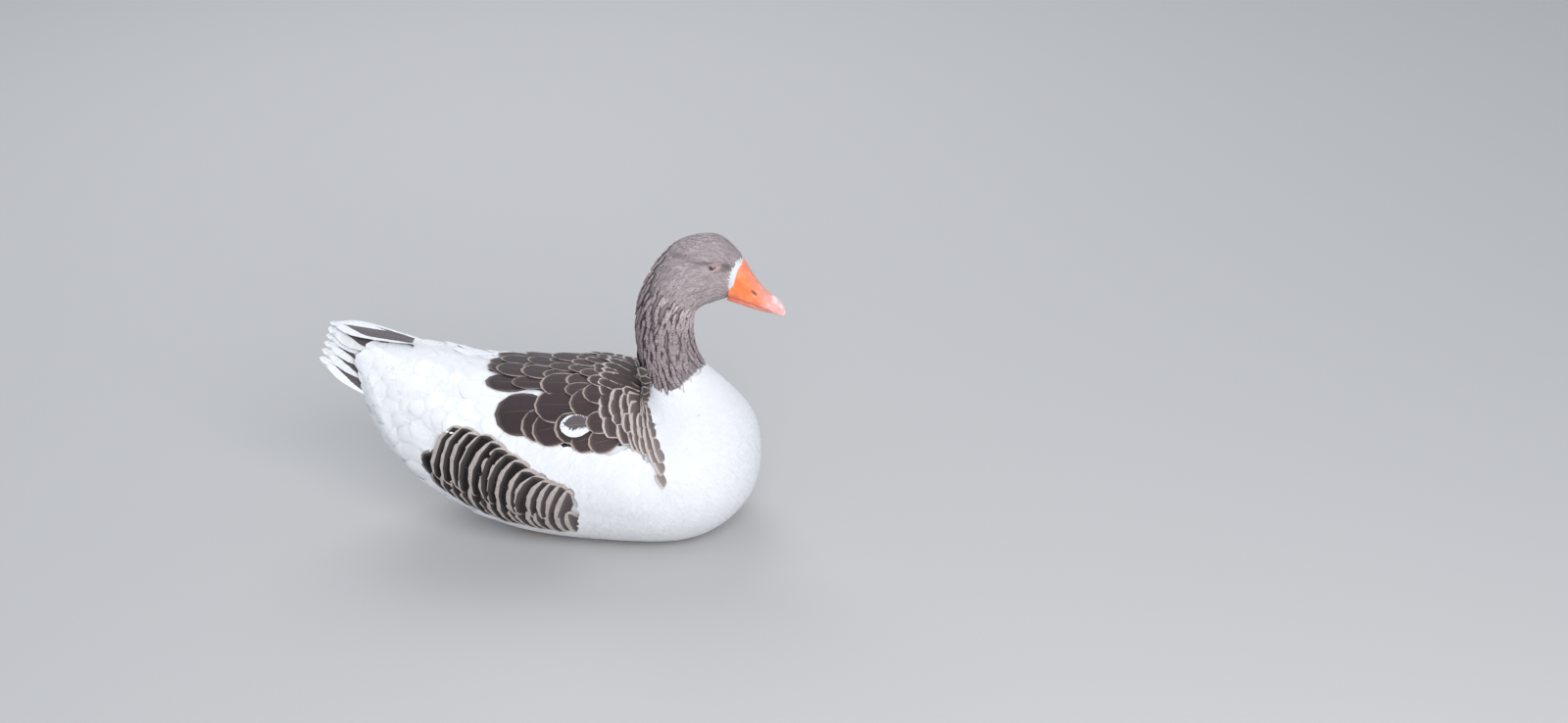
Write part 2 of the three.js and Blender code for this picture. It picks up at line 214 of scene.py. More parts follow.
class Markings:
    """Where each colour of the plumage lies. The skin and the coat both read it."""

    # Outlines as (x in mm, bearing in degrees).
    saddle = ((-119, -2), (-115, 27), (-102, 35), (-46, 35), (-82, 42), (-89, 56), (-67, 73), (-48, 73),
              (-28, 78), (-13, 80), (28, 81), (53, 83), (74, 79), (93, 78), (102, 86), (114, 91), (122, 99),
              (120, 90), (118, 82), (112, 72), (106, 58), (100, 47), (94, 36), (84, 15), (76, -2))
    flank = ((-198, 98), (-193, 87), (-176, 78), (-172, 68), (-142, 61), (-129, 62), (-96, 72), (-71, 77),
             (-45, 84), (-9, 91), (8, 96), (12, 108), (4, 128), (-35, 132), (-86, 131), (-140, 129),
             (-186, 122))
    # How far inside the outlines the skin is dark, as steps in x and bearing: none shows past the feathers.
    inset = ((-16, 0), (12, 0), (0, -6), (0, 5))
    # Colours along x in mm.
    saddle_run = ((-60, "#3a2c2f"), (20, "#443636"), (62, "#554847"), (92, "#6b5f5d"), (118, "#8e8480"))
    flank_run = ((-190, "#161113"), (-90, "#231c1e"), (-40, "#3d3437"), (12, "#6c6463"))
    white = linear("#f4f5f8")
    head_grey = linear("#b5a8aa")
    neck_grey = linear("#8f8486")
    hindneck_grey = linear("#766b6e")
    # Border lines round the bird as (degrees from the back line, ring number).
    collar_line = ((0, 9.25), (60, 9.26), (80, 9.34), (95, 9.54), (113, 9.72), (133, 9.89), (158, 9.98),
                   (180, 9.99))
    velvet_line = ((0, 13.2), (30, 12.9), (55, 12.42), (90, 12.42), (159, 12.66), (180, 12.7))
    band_line = ((0, 15.46), (10, 15.44), (41, 15.2), (58, 15.13), (89, 15.08), (110, 15.18), (125, 15.42),
                 (180, 15.8))

    def collar(self, angle: Array) -> Array:
        """The ring number where the neck's grey meets the white of the breast."""
        return look_up(self.collar_line, np.degrees(np.abs(angle)))

    def velvet_from(self, angle: Array) -> Array:
        """The ring number where the neck's locks give way to the head's velvet."""
        return look_up(self.velvet_line, np.degrees(np.abs(angle)))

    def bill_band(self, angle: Array) -> Array:
        """The ring number where the white band round the bill starts."""
        return look_up(self.band_line, np.degrees(np.abs(angle)))

    def head_shade(self, points: Array) -> Array:
        """How dark the head is, from 0 to 1: painted shade in its folds and hollows, and fine dark lines on
        the cheek.
        """
        x, z, side = points[..., 0], points[..., 2], smooth(8, 16, np.abs(points[..., 1]))
        # Painted shade in the groove behind the eye, under the brow's overhang, in the lore's hollow and
        # under the eye.
        rear_line = bump(z, 390 - 8 * smooth(146, 172, x), 3.0) * smooth(118, 138, x) * smooth(182, 172, x)
        brow = bump(z, 382.6 - 0.3 * (x - 176), 2.3) * smooth(166, 172, x) * smooth(206, 194, x)
        lore = bump(np.hypot((x - 197) / 8, (z - 372) / 4.5), 0, 1)
        under = bump(np.hypot((x - 172) / 12, (z - 364) / 4), 0, 1)
        ripples = bump(np.sin(0.55 * (z - 0.35 * x)), 1, 0.35)
        cheek = ripples * bump(np.hypot((x - 166) / 17, (z - 347) / 7), 0, 1)
        dark = 0.3 * rear_line + 0.48 * brow + 0.5 * lore + 0.16 * under + 0.3 * cheek
        return side * np.clip(dark, 0, 0.62)

    def colour(self, points: Array, s: Array, angle: Array) -> Array:
        """The plumage's colour at places on the skin, with painted shade on the head and painted light on its
        lower part.

        Args:
            points: the places, in mm.
            s: their ring numbers.
            angle: their angles round the rings.

        Returns:
            Linear red, green, blue and alpha for each.
        """
        bearing = HULL.bearing(points)
        x = points[..., 0]
        tint = np.broadcast_to(np.array(self.white), (*s.shape, 4)).copy()
        for outline, stops in ((self.saddle, self.saddle_run), (self.flank, self.flank_run)):
            deep = s < TRUNK_TO
            for step_x, step_bearing in self.inset:
                deep &= inside(outline, x + step_x, bearing + step_bearing)
            tint[deep] = blend(x[deep], *stops)
        nape = (bump(np.degrees(angle), 0, 75) * smooth(13.6, 11.5, s))[..., None]
        rise = smooth(11.4, 12.8, s)[..., None]
        grey = np.array(self.neck_grey) * (1 - rise) + np.array(self.head_grey) * rise
        grey = grey * (1 - nape) + np.array(self.hindneck_grey) * nape
        # Painted light: the lower part of the head, which faces down, is made lighter.
        cheek = (smooth(388, 345, points[..., 2]) * smooth(12.2, 12.7, s))[..., None]
        grey = grey * (1 + np.array([0.1, 0.1, 0.09, 0]) * cheek)
        shade = (self.head_shade(points) * smooth(12.4, 13.0, s))[..., None]
        grey = grey * (1 - np.array([1, 1, 1, 0]) * shade)
        tint = np.where((s > self.collar(angle))[..., None], grey, tint)
        return np.where((s > self.bill_band(angle))[..., None], np.array(self.white), tint)


MARKS = Markings()


# ---- Nodes ----


def feed(tree: Tree, node: Node, links: dict) -> None:
    """Gives a node's inputs, by name or number, a value or the output socket that feeds them."""
    for key, value in links.items():
        if isinstance(value, Socket):
            tree.links.new(value, node.inputs[key])
        else:
            node.inputs[key].default_value = value


def add_node(tree: Tree, kind: str, links: dict | None = None, **settings: object) -> Node:
    """Adds a node with its settings, values and links.

    Args:
        tree: the tree it goes in.
        kind: the node's type.
        links: for each input, by name or number, a value or the output socket that feeds it.
        settings: the node's own properties.

    Returns:
        The node.
    """
    node = tree.nodes.new(kind)
    for name, value in settings.items():
        setattr(node, name, value)
    feed(tree, node, links or {})
    return node


def attribute(tree: Tree, name: str, output: str = "Fac") -> Socket:
    """The output of a named attribute in a material's tree."""
    return add_node(tree, "ShaderNodeAttribute", attribute_name=name).outputs[output]


def maths(tree: Tree, operation: str, *values: object) -> Socket:
    """The result of one sum on numbers or sockets."""
    return add_node(tree, "ShaderNodeMath", dict(enumerate(values)), operation=operation).outputs[0]


def between(tree: Tree, value: object, low: float, high: float) -> Socket:
    """A smooth step of a socket, 0 at low and 1 at high. Low may be the greater."""
    flip = low > high
    ends = {"Value": value, "From Min": min(low, high), "From Max": max(low, high), "To Min": float(flip),
            "To Max": float(not flip)}
    return add_node(tree, "ShaderNodeMapRange", ends, interpolation_type="SMOOTHSTEP").outputs[0]


def mixed(tree: Tree, factor: object, a: object, b: object, how: str = "MIX") -> Socket:
    """A mix of two colours."""
    node = add_node(tree, "ShaderNodeMix", {0: factor, 6: a, 7: b}, data_type="RGBA", blend_type=how)
    return node.outputs[2]


def times(tree: Tree, colour: object, share: Sequence[float]) -> Socket:
    """A colour multiplied by a share of red, green and blue."""
    return mixed(tree, 1.0, colour, (*share, 1), "MULTIPLY")


def noise(tree: Tree, at: object, scale: float, detail: float = 2.0) -> Socket:
    """Cloudy noise from 0 to 1, of so many lumps a metre."""
    return add_node(tree, "ShaderNodeTexNoise", {"Vector": at, "Scale": scale, "Detail": detail}).outputs[0]


def here(tree: Tree) -> Socket:
    """The place on the object, in metres."""
    return add_node(tree, "ShaderNodeTexCoord").outputs["Object"]


class Pattern(Enum):
    """How a feather is marked."""

    PLAIN = "plain"
    LOCK = "lock"
    EDGED = "edged"
    CENTRED = "centred"


@dataclass(frozen=True)
class Finish:
    """A surface's name and gloss, and the start of its material."""

    name: str
    roughness: float = 0.6

    def start(self) -> tuple[Material, Tree, Node]:
        """Makes the material, and returns it with its tree and its shader."""
        material = bpy.data.materials.new(self.name)
        material.use_nodes = True
        tree = material.node_tree
        shader = tree.nodes["Principled BSDF"]
        shader.inputs["Roughness"].default_value = self.roughness
        return material, tree, shader

    def relief(self, tree: Tree, shader: Node, height: object, depth: float) -> None:
        """Feeds a height to the shader's normal: its 1 stands for so many mm."""
        links = {"Height": height, "Distance": depth * MM, "Strength": 1.0}
        feed(tree, shader, {"Normal": add_node(tree, "ShaderNodeBump", links).outputs[0]})

    def light_within(self, weight: float, radius: Triple, depth: float) -> dict:
        """Inputs that let light in under the surface, to so many mm, by a share for red, green and blue."""
        return {"Subsurface Weight": weight, "Subsurface Radius": radius, "Subsurface Scale": depth * MM}


@dataclass(frozen=True)
class OnVane:
    """The sockets that a feather's pattern is drawn from."""

    tree: Tree
    tint: Socket
    along: Socket
    across: Socket
    out: Socket
    shade: Socket
    grain: Socket

    def maths(self, operation: str, *values: object) -> Socket:
        """The result of one sum."""
        return maths(self.tree, operation, *values)

    def between(self, value: object, low: float, high: float) -> Socket:
        """A smooth step of a socket."""
        return between(self.tree, value, low, high)

    def mixed(self, factor: object, a: object, b: object) -> Socket:
        """A mix of two colours."""
        return mixed(self.tree, factor, a, b)

    def dimmed(self, colour: object, share: float) -> Socket:
        """A colour brought down to a share of its brightness."""
        return times(self.tree, colour, (share, share, share))


@dataclass(frozen=True)
class FeatherVane(Finish):
    """Feather keratin, grown: barbs run out from the shaft and part in small splits that catch the light.

    The barbs are drawn about 1.5 mm apart, coarser than the real 0.3 mm, so that they show.
    """

    pattern: Pattern = Pattern.PLAIN
    edge: str = "#c3b0a0"
    edge_width: float = 1.8
    side_share: float = 1.4
    fade: float = 0.1
    fill: float = 0.62
    dark_to: Pair = (0.45, 0.9)
    skew: float = 0.0
    ragged: float = 0.1
    shaft: str = "#8a766c"
    relief_depth: float = 0.25
    barb_pitch: float = 1.5
    streak: float = 0.86
    sheen: float = 0.06
    gloss: float = 0.3
    glow: float = 0.04
    # A lock's painted highlight on its ridge and painted shade in its furrows, as shares of its own colour.
    ridge: Triple = (1.95, 1.92, 1.9)
    furrow_shade: Triple = (0.24, 0.21, 0.21)
    # An edge that is worn, as shares of its colour, and a dark centre that is bleached.
    worn: Triple = (0.76, 0.74, 0.73)
    bleached: str = "#6d6669"

    def build(self) -> Material:
        """Makes the material."""
        material, tree, shader = self.start()
        axes = add_node(tree, "ShaderNodeSeparateXYZ", {0: attribute(tree, "spot", "Vector")})
        out = maths(tree, "ABSOLUTE", axes.outputs["Y"])
        shade = attribute(tree, "shade")
        barb = maths(tree, "SUBTRACT", axes.outputs["X"], maths(tree, "MULTIPLY", out, 0.9))
        side = maths(tree, "MULTIPLY", axes.outputs["Y"], 0.12)
        grain_at = add_node(tree, "ShaderNodeCombineXYZ", {0: barb, 1: side, 2: shade}).outputs[0]
        grain = noise(tree, grain_at, 1 / (self.barb_pitch * MM))
        on = OnVane(tree, attribute(tree, "tint", "Color"), attribute(tree, "along"),
                    maths(tree, "ABSOLUTE", attribute(tree, "across")), out, shade, grain)
        colour = on.mixed(on.between(grain, 0.3, 0.75), on.dimmed(on.tint, self.streak), on.tint)
        colour = getattr(self, f"mark_{self.pattern.value}")(on, colour)
        colour = on.mixed(on.between(shade, 0.0, 1.0), on.dimmed(colour, 0.5 + 0.5 * self.streak), colour)
        feed(tree, shader, {"Base Color": colour, "Sheen Weight": self.sheen, "Sheen Roughness": 0.5,
                            "Specular IOR Level": self.gloss,
                            **self.light_within(self.glow, (1.0, 0.95, 0.9), 3)})
        self.relief(tree, shader, grain, self.relief_depth)
        return material

    def mark_plain(self, on: OnVane, colour: object) -> Socket:
        """Leaves the feather its own colour, with painted shade near its root, where it dips under the next.
        """
        return on.mixed(on.between(on.along, 0.45, 0.05), colour, on.dimmed(on.tint, 0.5 + 0.5 * self.streak))

    def mark_lock(self, on: OnVane, colour: object) -> Socket:
        """Paints a highlight on the ridge of a lock and shade in the furrows at its sides."""
        ridge = on.maths("MULTIPLY", on.between(on.across, 0.95, 0.3), on.between(on.along, 0.0, 0.3))
        light, dark = times(on.tree, on.tint, self.ridge), times(on.tree, on.tint, self.furrow_shade)
        dark = on.mixed(attribute(on.tree, "tint", "Alpha"), colour, dark)
        return on.mixed(ridge, dark, on.mixed(on.between(on.grain, 0.35, 0.7), colour, light))

    def rim(self, on: OnVane) -> Socket:
        """Metres in from the feather's outline."""
        size = add_node(on.tree, "ShaderNodeSeparateXYZ", {0: attribute(on.tree, "size", "Vector")})
        side = on.maths("MULTIPLY", on.maths("SUBTRACT", 1.0, on.across), size.outputs["Y"])
        tip = on.maths("MULTIPLY", on.maths("SUBTRACT", 1.0, on.along), size.outputs["X"])
        return on.maths("MINIMUM", on.maths("MULTIPLY", side, self.side_share), tip)

    def mark_edged(self, on: OnVane, colour: object) -> Socket:
        """Draws a pale edge of a real width round the outline, and a pale shaft that fades to the tip."""
        rim, width = self.rim(on), self.edge_width * MM
        own = on.maths("MULTIPLY", on.maths("SUBTRACT", on.shade, 0.5), width * 0.5)
        wavy = on.maths("ADD", on.maths("ADD", rim, own),
                        on.maths("MULTIPLY", on.maths("SUBTRACT", on.grain, 0.5), 1.2 * MM))
        edge = on.between(wavy, 1.12 * width, 0.82 * width)
        strength = attribute(on.tree, "tint", "Alpha")
        fresh = linear(self.edge)
        worn = (*(a * b for a, b in zip(fresh, self.worn)), 1)
        worn = on.mixed(on.between(on.grain, 0.35, 0.7), worn, fresh)
        inner = on.between(rim, 2.5 * width, 1.0 * width)
        colour = on.mixed(on.maths("MULTIPLY", inner, self.fade), colour, fresh)
        colour = on.mixed(on.maths("MULTIPLY", edge, strength), colour, worn)
        line = on.maths("MULTIPLY", on.between(on.out, 0.75 * MM, 0.3 * MM), on.between(on.along, 0.95, 0.6))
        return on.mixed(on.maths("MULTIPLY", line, 0.22), colour, linear(self.shaft))

    def mark_centred(self, on: OnVane, colour: object) -> Socket:
        """Fills the middle of a pale feather with a dark lens, or one side of it where it is skewed."""
        across = on.across
        if self.skew:
            across = on.maths("ABSOLUTE", on.maths("ADD", attribute(on.tree, "across"), self.skew))
        inner = on.maths("ADD", across, on.maths("MULTIPLY", on.between(on.along, *self.dark_to), 0.75))
        dark = on.between(on.maths("ADD", inner, on.maths("MULTIPLY", on.grain, self.ragged)),
                          self.fill, self.fill - 0.07)
        colour = on.mixed(dark, colour, on.mixed(on.grain, linear(self.edge), linear(self.bleached)))
        line = on.between(on.out, 0.8 * MM, 0.3 * MM)
        return on.mixed(on.maths("MULTIPLY", line, 0.5), colour, linear(self.shaft))


@dataclass(frozen=True)
class SkinFinish(Finish):
    """Bird skin under short down: soft and matt, in the colour of the plumage over it."""

    def build(self) -> Material:
        """Makes the material."""
        material, tree, shader = self.start()
        tint = attribute(tree, "tint", "Color")
        down = noise(tree, here(tree), 900.0, 3.0)
        colour = mixed(tree, down, times(tree, tint, (0.72, 0.7, 0.7)), tint)
        feed(tree, shader, {"Base Color": colour, "Sheen Weight": 0.1})
        self.relief(tree, shader, down, 0.3)
        return material


# ---- Skin ----


class SkinShape:
    """The skin's own surface: the hull drawn in by the coat's depth, with folds and a flat belly."""

    # The coat's depth in mm at ring numbers, from the tail to the face.
    depth_at = ((0, 4), (1, 7), (3, 9), (8, 9), (9.5, 7.0), (10.3, 5.6), (12, 5.2),
                (12.8, 3.0), (13.5, 1.5), (FACE_TO, 1.1))
    # The face's last ring number, by degrees from the back line.
    end_at = ((0, FACE_TO), (25, 15.58), (50, 15.38), (80, 15.43), (105, 15.56), (180, 15.55))
    # Heights in mm of the belly's flat, and of the beds over a leg and a foot.
    belly = 4.0
    bed_leg = 20.0
    bed_foot = 9.5

    def depth(self, s: Array) -> Array:
        """How deep the skin lies under the tips of the coat, in mm."""
        return look_up(self.depth_at, s)

    def folds(self, points: Array, s: Array, angle: Array) -> Array:
        """How far the head's folds and the rump's soft lobes stand out of the plain form, in mm."""
        x, y, z = points[..., 0], np.abs(points[..., 1]), points[..., 2]
        head = smooth(12.4, 13.2, s) * smooth(6, 16, y)
        brow = bump(z, 389 - 0.1 * (x - 175), 4.0) * smooth(150, 165, x) * smooth(203, 192, x)
        orbit = bump(np.hypot(x - EYE[0], (z - EYE[2]) * 1.25), 0, 13)
        line = bump(z, 376 + 0.0042 * (x - 170) ** 2, 2.6) * smooth(124, 140, x) * smooth(173, 164, x)
        cheek = bump(np.hypot(x - 160, z - 352), 0, 17)
        lore = bump(np.hypot((x - 198) / 9, (z - 371) / 6), 0, 1)
        out = head * (1.9 * brow + 0.9 * orbit - 1.6 * line + 2.0 * cheek - 1.2 * lore)
        rear = smooth(4.2, 2.6, s)
        lobes = np.sin(3.1 * s + 4.4 * angle) * np.sin(2.3 * s - 3.2 * np.abs(angle) + 0.8)
        return out + 3.2 * rear * lobes

    def floor(self, x: Array, y: Array) -> Array:
        """The lowest the skin may lie, in mm: the belly's flat, and beds over the legs and feet."""
        leg = smooth(-98, -88, x) * smooth(6, -4, x) * smooth(24, 30, y) * smooth(56, 50, y)
        foot = smooth(-14, -6, x) * smooth(92, 84, x) * smooth(4, 12, y) * smooth(78, 68, y)
        return self.belly + np.maximum((self.bed_leg - self.belly) * leg, (self.bed_foot - self.belly) * foot)

    def face_end(self, angle: Array) -> Array:
        """The ring number where the skin ends round the bill's base: furthest on the ridge."""
        return look_up(self.end_at, np.degrees(np.abs(angle)))

    def point(self, s: Array, angle: Array) -> Array:
        """Points of the skin, in mm."""
        base = HULL.point(s, angle)
        normal, _ = HULL.axes(s, angle)
        out = HULL.wing_swell(s, angle) - self.depth(s) + self.folds(base, s, angle)
        place = base + normal * out[..., None]
        place[..., 2] = np.maximum(place[..., 2], self.floor(place[..., 0], np.abs(place[..., 1])))
        return place

    def unwrap(self, s: Array, angle: Array) -> Array:
        """The skin's own flat map: round the ring, and along the body by its length on the side."""
        marks = np.linspace(0, FACE_TO, 400)
        side = HULL.point(marks, np.full(marks.shape, PI / 2))
        run = np.concatenate([[0], np.cumsum(np.linalg.norm(np.diff(side, axis=0), axis=-1))])
        return np.stack([0.5 + 0.49 * angle / PI, 0.01 + 0.98 * np.interp(s, marks, run / run[-1])], -1)


SKIN = SkinShape()


def mesh_object(name: str, points: Array, faces: Sequence[Sequence[int]], finish: Material | None = None,
                **attributes: Array) -> Piece:
    """Makes a smooth mesh object at the origin.

    Args:
        name: the object's name.
        points: its vertices, in mm.
        faces: its faces, as lists of vertex numbers.
        finish: its material.
        attributes: per vertex values, one number, three or four for each.

    Returns:
        The object, linked to the scene.
    """
    mesh = bpy.data.meshes.new(name)
    mesh.from_pydata((np.asarray(points) * MM).tolist(), [], [list(map(int, f)) for f in faces])
    mesh.shade_smooth()
    kinds = {1: ("FLOAT", "value"), 3: ("FLOAT_VECTOR", "vector"), 4: ("FLOAT_COLOR", "color")}
    for key, values in attributes.items():
        values = np.asarray(values, np.float32)
        kind, part = kinds[1 if values.ndim == 1 else values.shape[-1]]
        mesh.attributes.new(key, kind, "POINT").data.foreach_set(part, values.ravel())
    if finish is not None:
        mesh.materials.append(finish)
    made = bpy.data.objects.new(name, mesh)
    bpy.context.scene.collection.objects.link(made)
    return made


def keep(piece: Piece, slot: str, replaced: Sequence[str] = ()) -> None:
    """Hands a finished piece to the frame, and hides the solids it stands for."""
    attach(piece, "root")
    if replaced:
        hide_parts(*replaced)
    piece.data.calc_loop_triangles()
    log.info("%s: %d triangles", piece.name, len(piece.data.loop_triangles))


def join(pieces: Sequence[Piece]) -> Piece:
    """Joins pieces into the first of them."""
    with bpy.context.temp_override(active_object=pieces[0], selected_editable_objects=pieces):
        bpy.ops.object.join()
    return pieces[0]


def outward(piece: Piece) -> None:
    """Turns a closed mesh's faces outwards, by the sign of its volume."""
    piece.data.calc_loop_triangles()
    points = np.array([v.co for v in piece.data.vertices])
    corners = points[np.array([t.vertices for t in piece.data.loop_triangles])]
    if np.einsum("ij,ij->", corners[:, 0], np.cross(corners[:, 1], corners[:, 2])) < 0:
        piece.data.flip_normals()


def grid_faces(rows: int, columns: int, closed: bool = True) -> list[tuple[int, int, int, int]]:
    """Quads over a grid of points, joined round its columns if closed."""
    i, j = np.meshgrid(np.arange(rows - 1), np.arange(columns if closed else columns - 1), indexing="ij")
    a, b = i * columns + j, i * columns + (j + 1) % columns
    return np.stack([a, b, b + columns, a + columns], -1).reshape(-1, 4).tolist()


def end_faces(rows: int, columns: int) -> list[list[int]]:
    """The two end faces of a tube over a grid of points."""
    return [list(range(columns))[::-1], list(range((rows - 1) * columns, rows * columns))]


@dataclass
class Skin:
    """The one skin of trunk, wings, neck and head."""

    sides: int = 128
    # Runs of rings, as first and last ring number and how many.
    spans: tuple[tuple[float, float, int], ...] = ((0, 9, 150), (9, 12.2, 64), (12.2, FACE_TO, 112))
    face_from: float = 14.4
    lids_at: float = 14.07
    body: Piece = field(init=False)

    def build(self) -> None:
        """Makes the skin and stores its outward direction for the coat to read."""
        s = np.unique(np.concatenate([np.linspace(a, b, n) for a, b, n in self.spans]))
        angle = np.linspace(-PI, PI, self.sides + 1)[:-1]
        grid_s, grid_a = np.meshgrid(s, angle, indexing="ij")
        face = grid_s > self.face_from
        shrink = (SKIN.face_end(grid_a) - self.face_from) / (FACE_TO - self.face_from)
        grid_s[face] = self.face_from + (grid_s[face] - self.face_from) * shrink[face]
        points = SKIN.point(grid_s, grid_a)
        tint = MARKS.colour(points, grid_s, grid_a).reshape(-1, 4)
        faces = [f[::-1] for f in grid_faces(len(s), self.sides) + end_faces(len(s), self.sides)]
        # The finish gives the eye a soft ground of the right colour wherever the coat parts.
        finish = SkinFinish("skin_under_down", 0.75).build()
        self.body = mesh_object("skin", points.reshape(-1, 3), faces, finish, tint=tint)
        self.map_skin(grid_s, grid_a)
        self.store_normals()

    def map_skin(self, s: Array, angle: Array) -> None:
        """Gives the skin its flat map, with the seam along the belly."""
        mesh = self.body.data
        at = np.zeros(len(mesh.loops), np.int32)
        mesh.loops.foreach_get("vertex_index", at)
        flat = SKIN.unwrap(s, angle).reshape(-1, 2)[at]
        start, total = (np.zeros(len(mesh.polygons), np.int32) for _ in range(2))
        mesh.polygons.foreach_get("loop_start", start)
        mesh.polygons.foreach_get("loop_total", total)
        owner = np.repeat(np.arange(len(start)), total)
        widest = np.maximum.reduceat(flat[:, 0], start)[owner]
        # A face that crosses the seam ends at the right edge of the map instead of the left.
        wraps = (widest > 0.9) & (flat[:, 0] < 0.1) & (total[owner] == 4)
        flat[wraps, 0] = 0.99
        mesh.uv_layers.new(name="OFBake").data.foreach_set("uv", flat.astype(np.float32).ravel())

    def store_normals(self) -> None:
        """Stores the true outward direction at each vertex."""
        mesh = self.body.data
        normals = np.zeros(len(mesh.vertices) * 3, np.float32)
        mesh.vertex_normals.foreach_get("vector", normals)
        mesh.attributes.new("out", "FLOAT_VECTOR", "POINT").data.foreach_set("vector", normals)

    def take_lids(self, lids: Sequence[Piece]) -> None:
        """Joins the eyes' lids to the skin, so that they are one piece."""
        place = SKIN.unwrap(np.array([self.lids_at]), np.array([0.0]))[0]
        for part in lids:
            layer = part.data.uv_layers.new(name="OFBake")
            layer.data.foreach_set("uv", np.tile(place, len(part.data.loops)))
        join([self.body, *lids])

    def finish(self) -> None:
        """Hands the skin to the frame once the coat has been laid."""
        self.body.data.attributes.remove(self.body.data.attributes["out"])
        keep(self.body, "white_feather", ("trunk", "neck", "head", "wing_left", "wing_right"))


# ---- Vanes and the tree that lays them ----


@dataclass(frozen=True)
class Vane:
    """One feather or lock of length 1 and half width 1: a top to be cambered over a flat underside.

    Its stations run along it from root to tip and its columns across it.
    """

    name: str
    stations: tuple[float, ...]
    columns: tuple[float, ...]
    root: float = 0.3
    tip: float = 0.6
    round_tip: float = 0.25
    widest: float = 0.55

    def half(self, u: Array) -> Array:
        """The half width at shares of the length."""
        grow = self.root + (1 - self.root) * np.sin(np.clip(u / self.widest, 0, 1) * PI / 2)
        return grow - (1 - self.tip) * np.clip((u - self.widest) / (1 - self.widest), 0, 1) ** 2.2

    def build(self) -> Piece:
        """Makes the vane for the tree to repeat, with its place along and across it and its camber."""
        u, v = np.meshgrid(self.stations, self.columns, indexing="ij")
        n, m = u.shape
        x = u - self.round_tip * np.abs(v) ** 2.2 * u * u
        y = v * self.half(u)
        rise = (1 - v * v) * smooth(0, 0.15, u) * (1 - 0.6 * smooth(0.88, 1.0, u))
        left, right = np.arange(n) * m, np.arange(n) * m + m - 1
        faces = grid_faces(n, m, closed=False)
        for i in range(n - 1):
            first = list(range(right[0], left[0], -1)) if i == 0 else [right[i]]
            last = list(range(left[i + 1], right[i + 1])) if i == n - 2 else [left[i + 1]]
            faces.append([*first, left[i], *last, right[i + 1]][::-1])
        made = mesh_object(self.name, np.stack([x, y, 0 * x], -1).reshape(-1, 3) / MM, faces,
                           along=u.ravel(), across=v.ravel(), rise=rise.ravel())
        outline = {*left, *right, *range(m), *range((n - 1) * m, n * m)}
        for edge in made.data.edges:
            a, b = edge.vertices
            edge.use_edge_sharp = a in outline and b in outline and abs(a - b) in (1, m)
        return made


FINE = Vane("fine_vane", (0, 0.5, 1), (-1, 0, 1), root=0.5, tip=0.5)
SMALL = Vane("small_vane", (0, 0.4, 0.72, 0.88, 0.96, 1), (-1, -0.7, 0, 0.7, 1),
             root=0.45, tip=0.8, round_tip=0.22)
LOCKED = Vane("lock_vane", (0, 0.25, 0.5, 0.75, 0.9, 1), (-1, -0.75, -0.4, 0, 0.4, 0.75, 1),
              root=0.5, tip=0.3, round_tip=0.2)
BROAD = Vane("broad_vane", (0, 0.2, 0.4, 0.6, 0.75, 0.87, 0.95, 1), (-1, -0.85, -0.5, 0, 0.5, 0.85, 1),
             root=0.35, tip=0.86, round_tip=0.24)
SQUARE = Vane("square_vane", (0, 0.25, 0.5, 0.75, 0.9, 0.96, 1), (-1, -0.85, -0.5, 0, 0.5, 0.85, 1),
              root=0.5, tip=0.92, round_tip=0.09, widest=0.7)
LONG = Vane("long_vane", (0, 0.15, 0.3, 0.45, 0.6, 0.75, 0.87, 0.95, 1), (-1, -0.6, 0, 0.6, 1),
            root=0.45, tip=0.45, round_tip=0.12, widest=0.7)


@dataclass
class Roots:
    """Where the feathers of a tract grow, and how each one lies. Lengths in mm.

    flat is the root's place on the skin's map. hug is 1 for a feather that follows the skin, else 0.
    """

    place: Array
    normal: Array
    lie: Array
    flat: Array
    tint: Array
    length: Array
    width: Array
    camber: Array
    lift: Array
    tip_lift: Array
    bend: Array
    hug: Array

    def __len__(self) -> int:
        """How many feathers there are."""
        return len(self.place)

    def part(self, chosen: Array) -> "Roots":
        """The chosen ones alone."""
        return Roots(**{k: getattr(self, k)[chosen] for k in self.__dataclass_fields__})


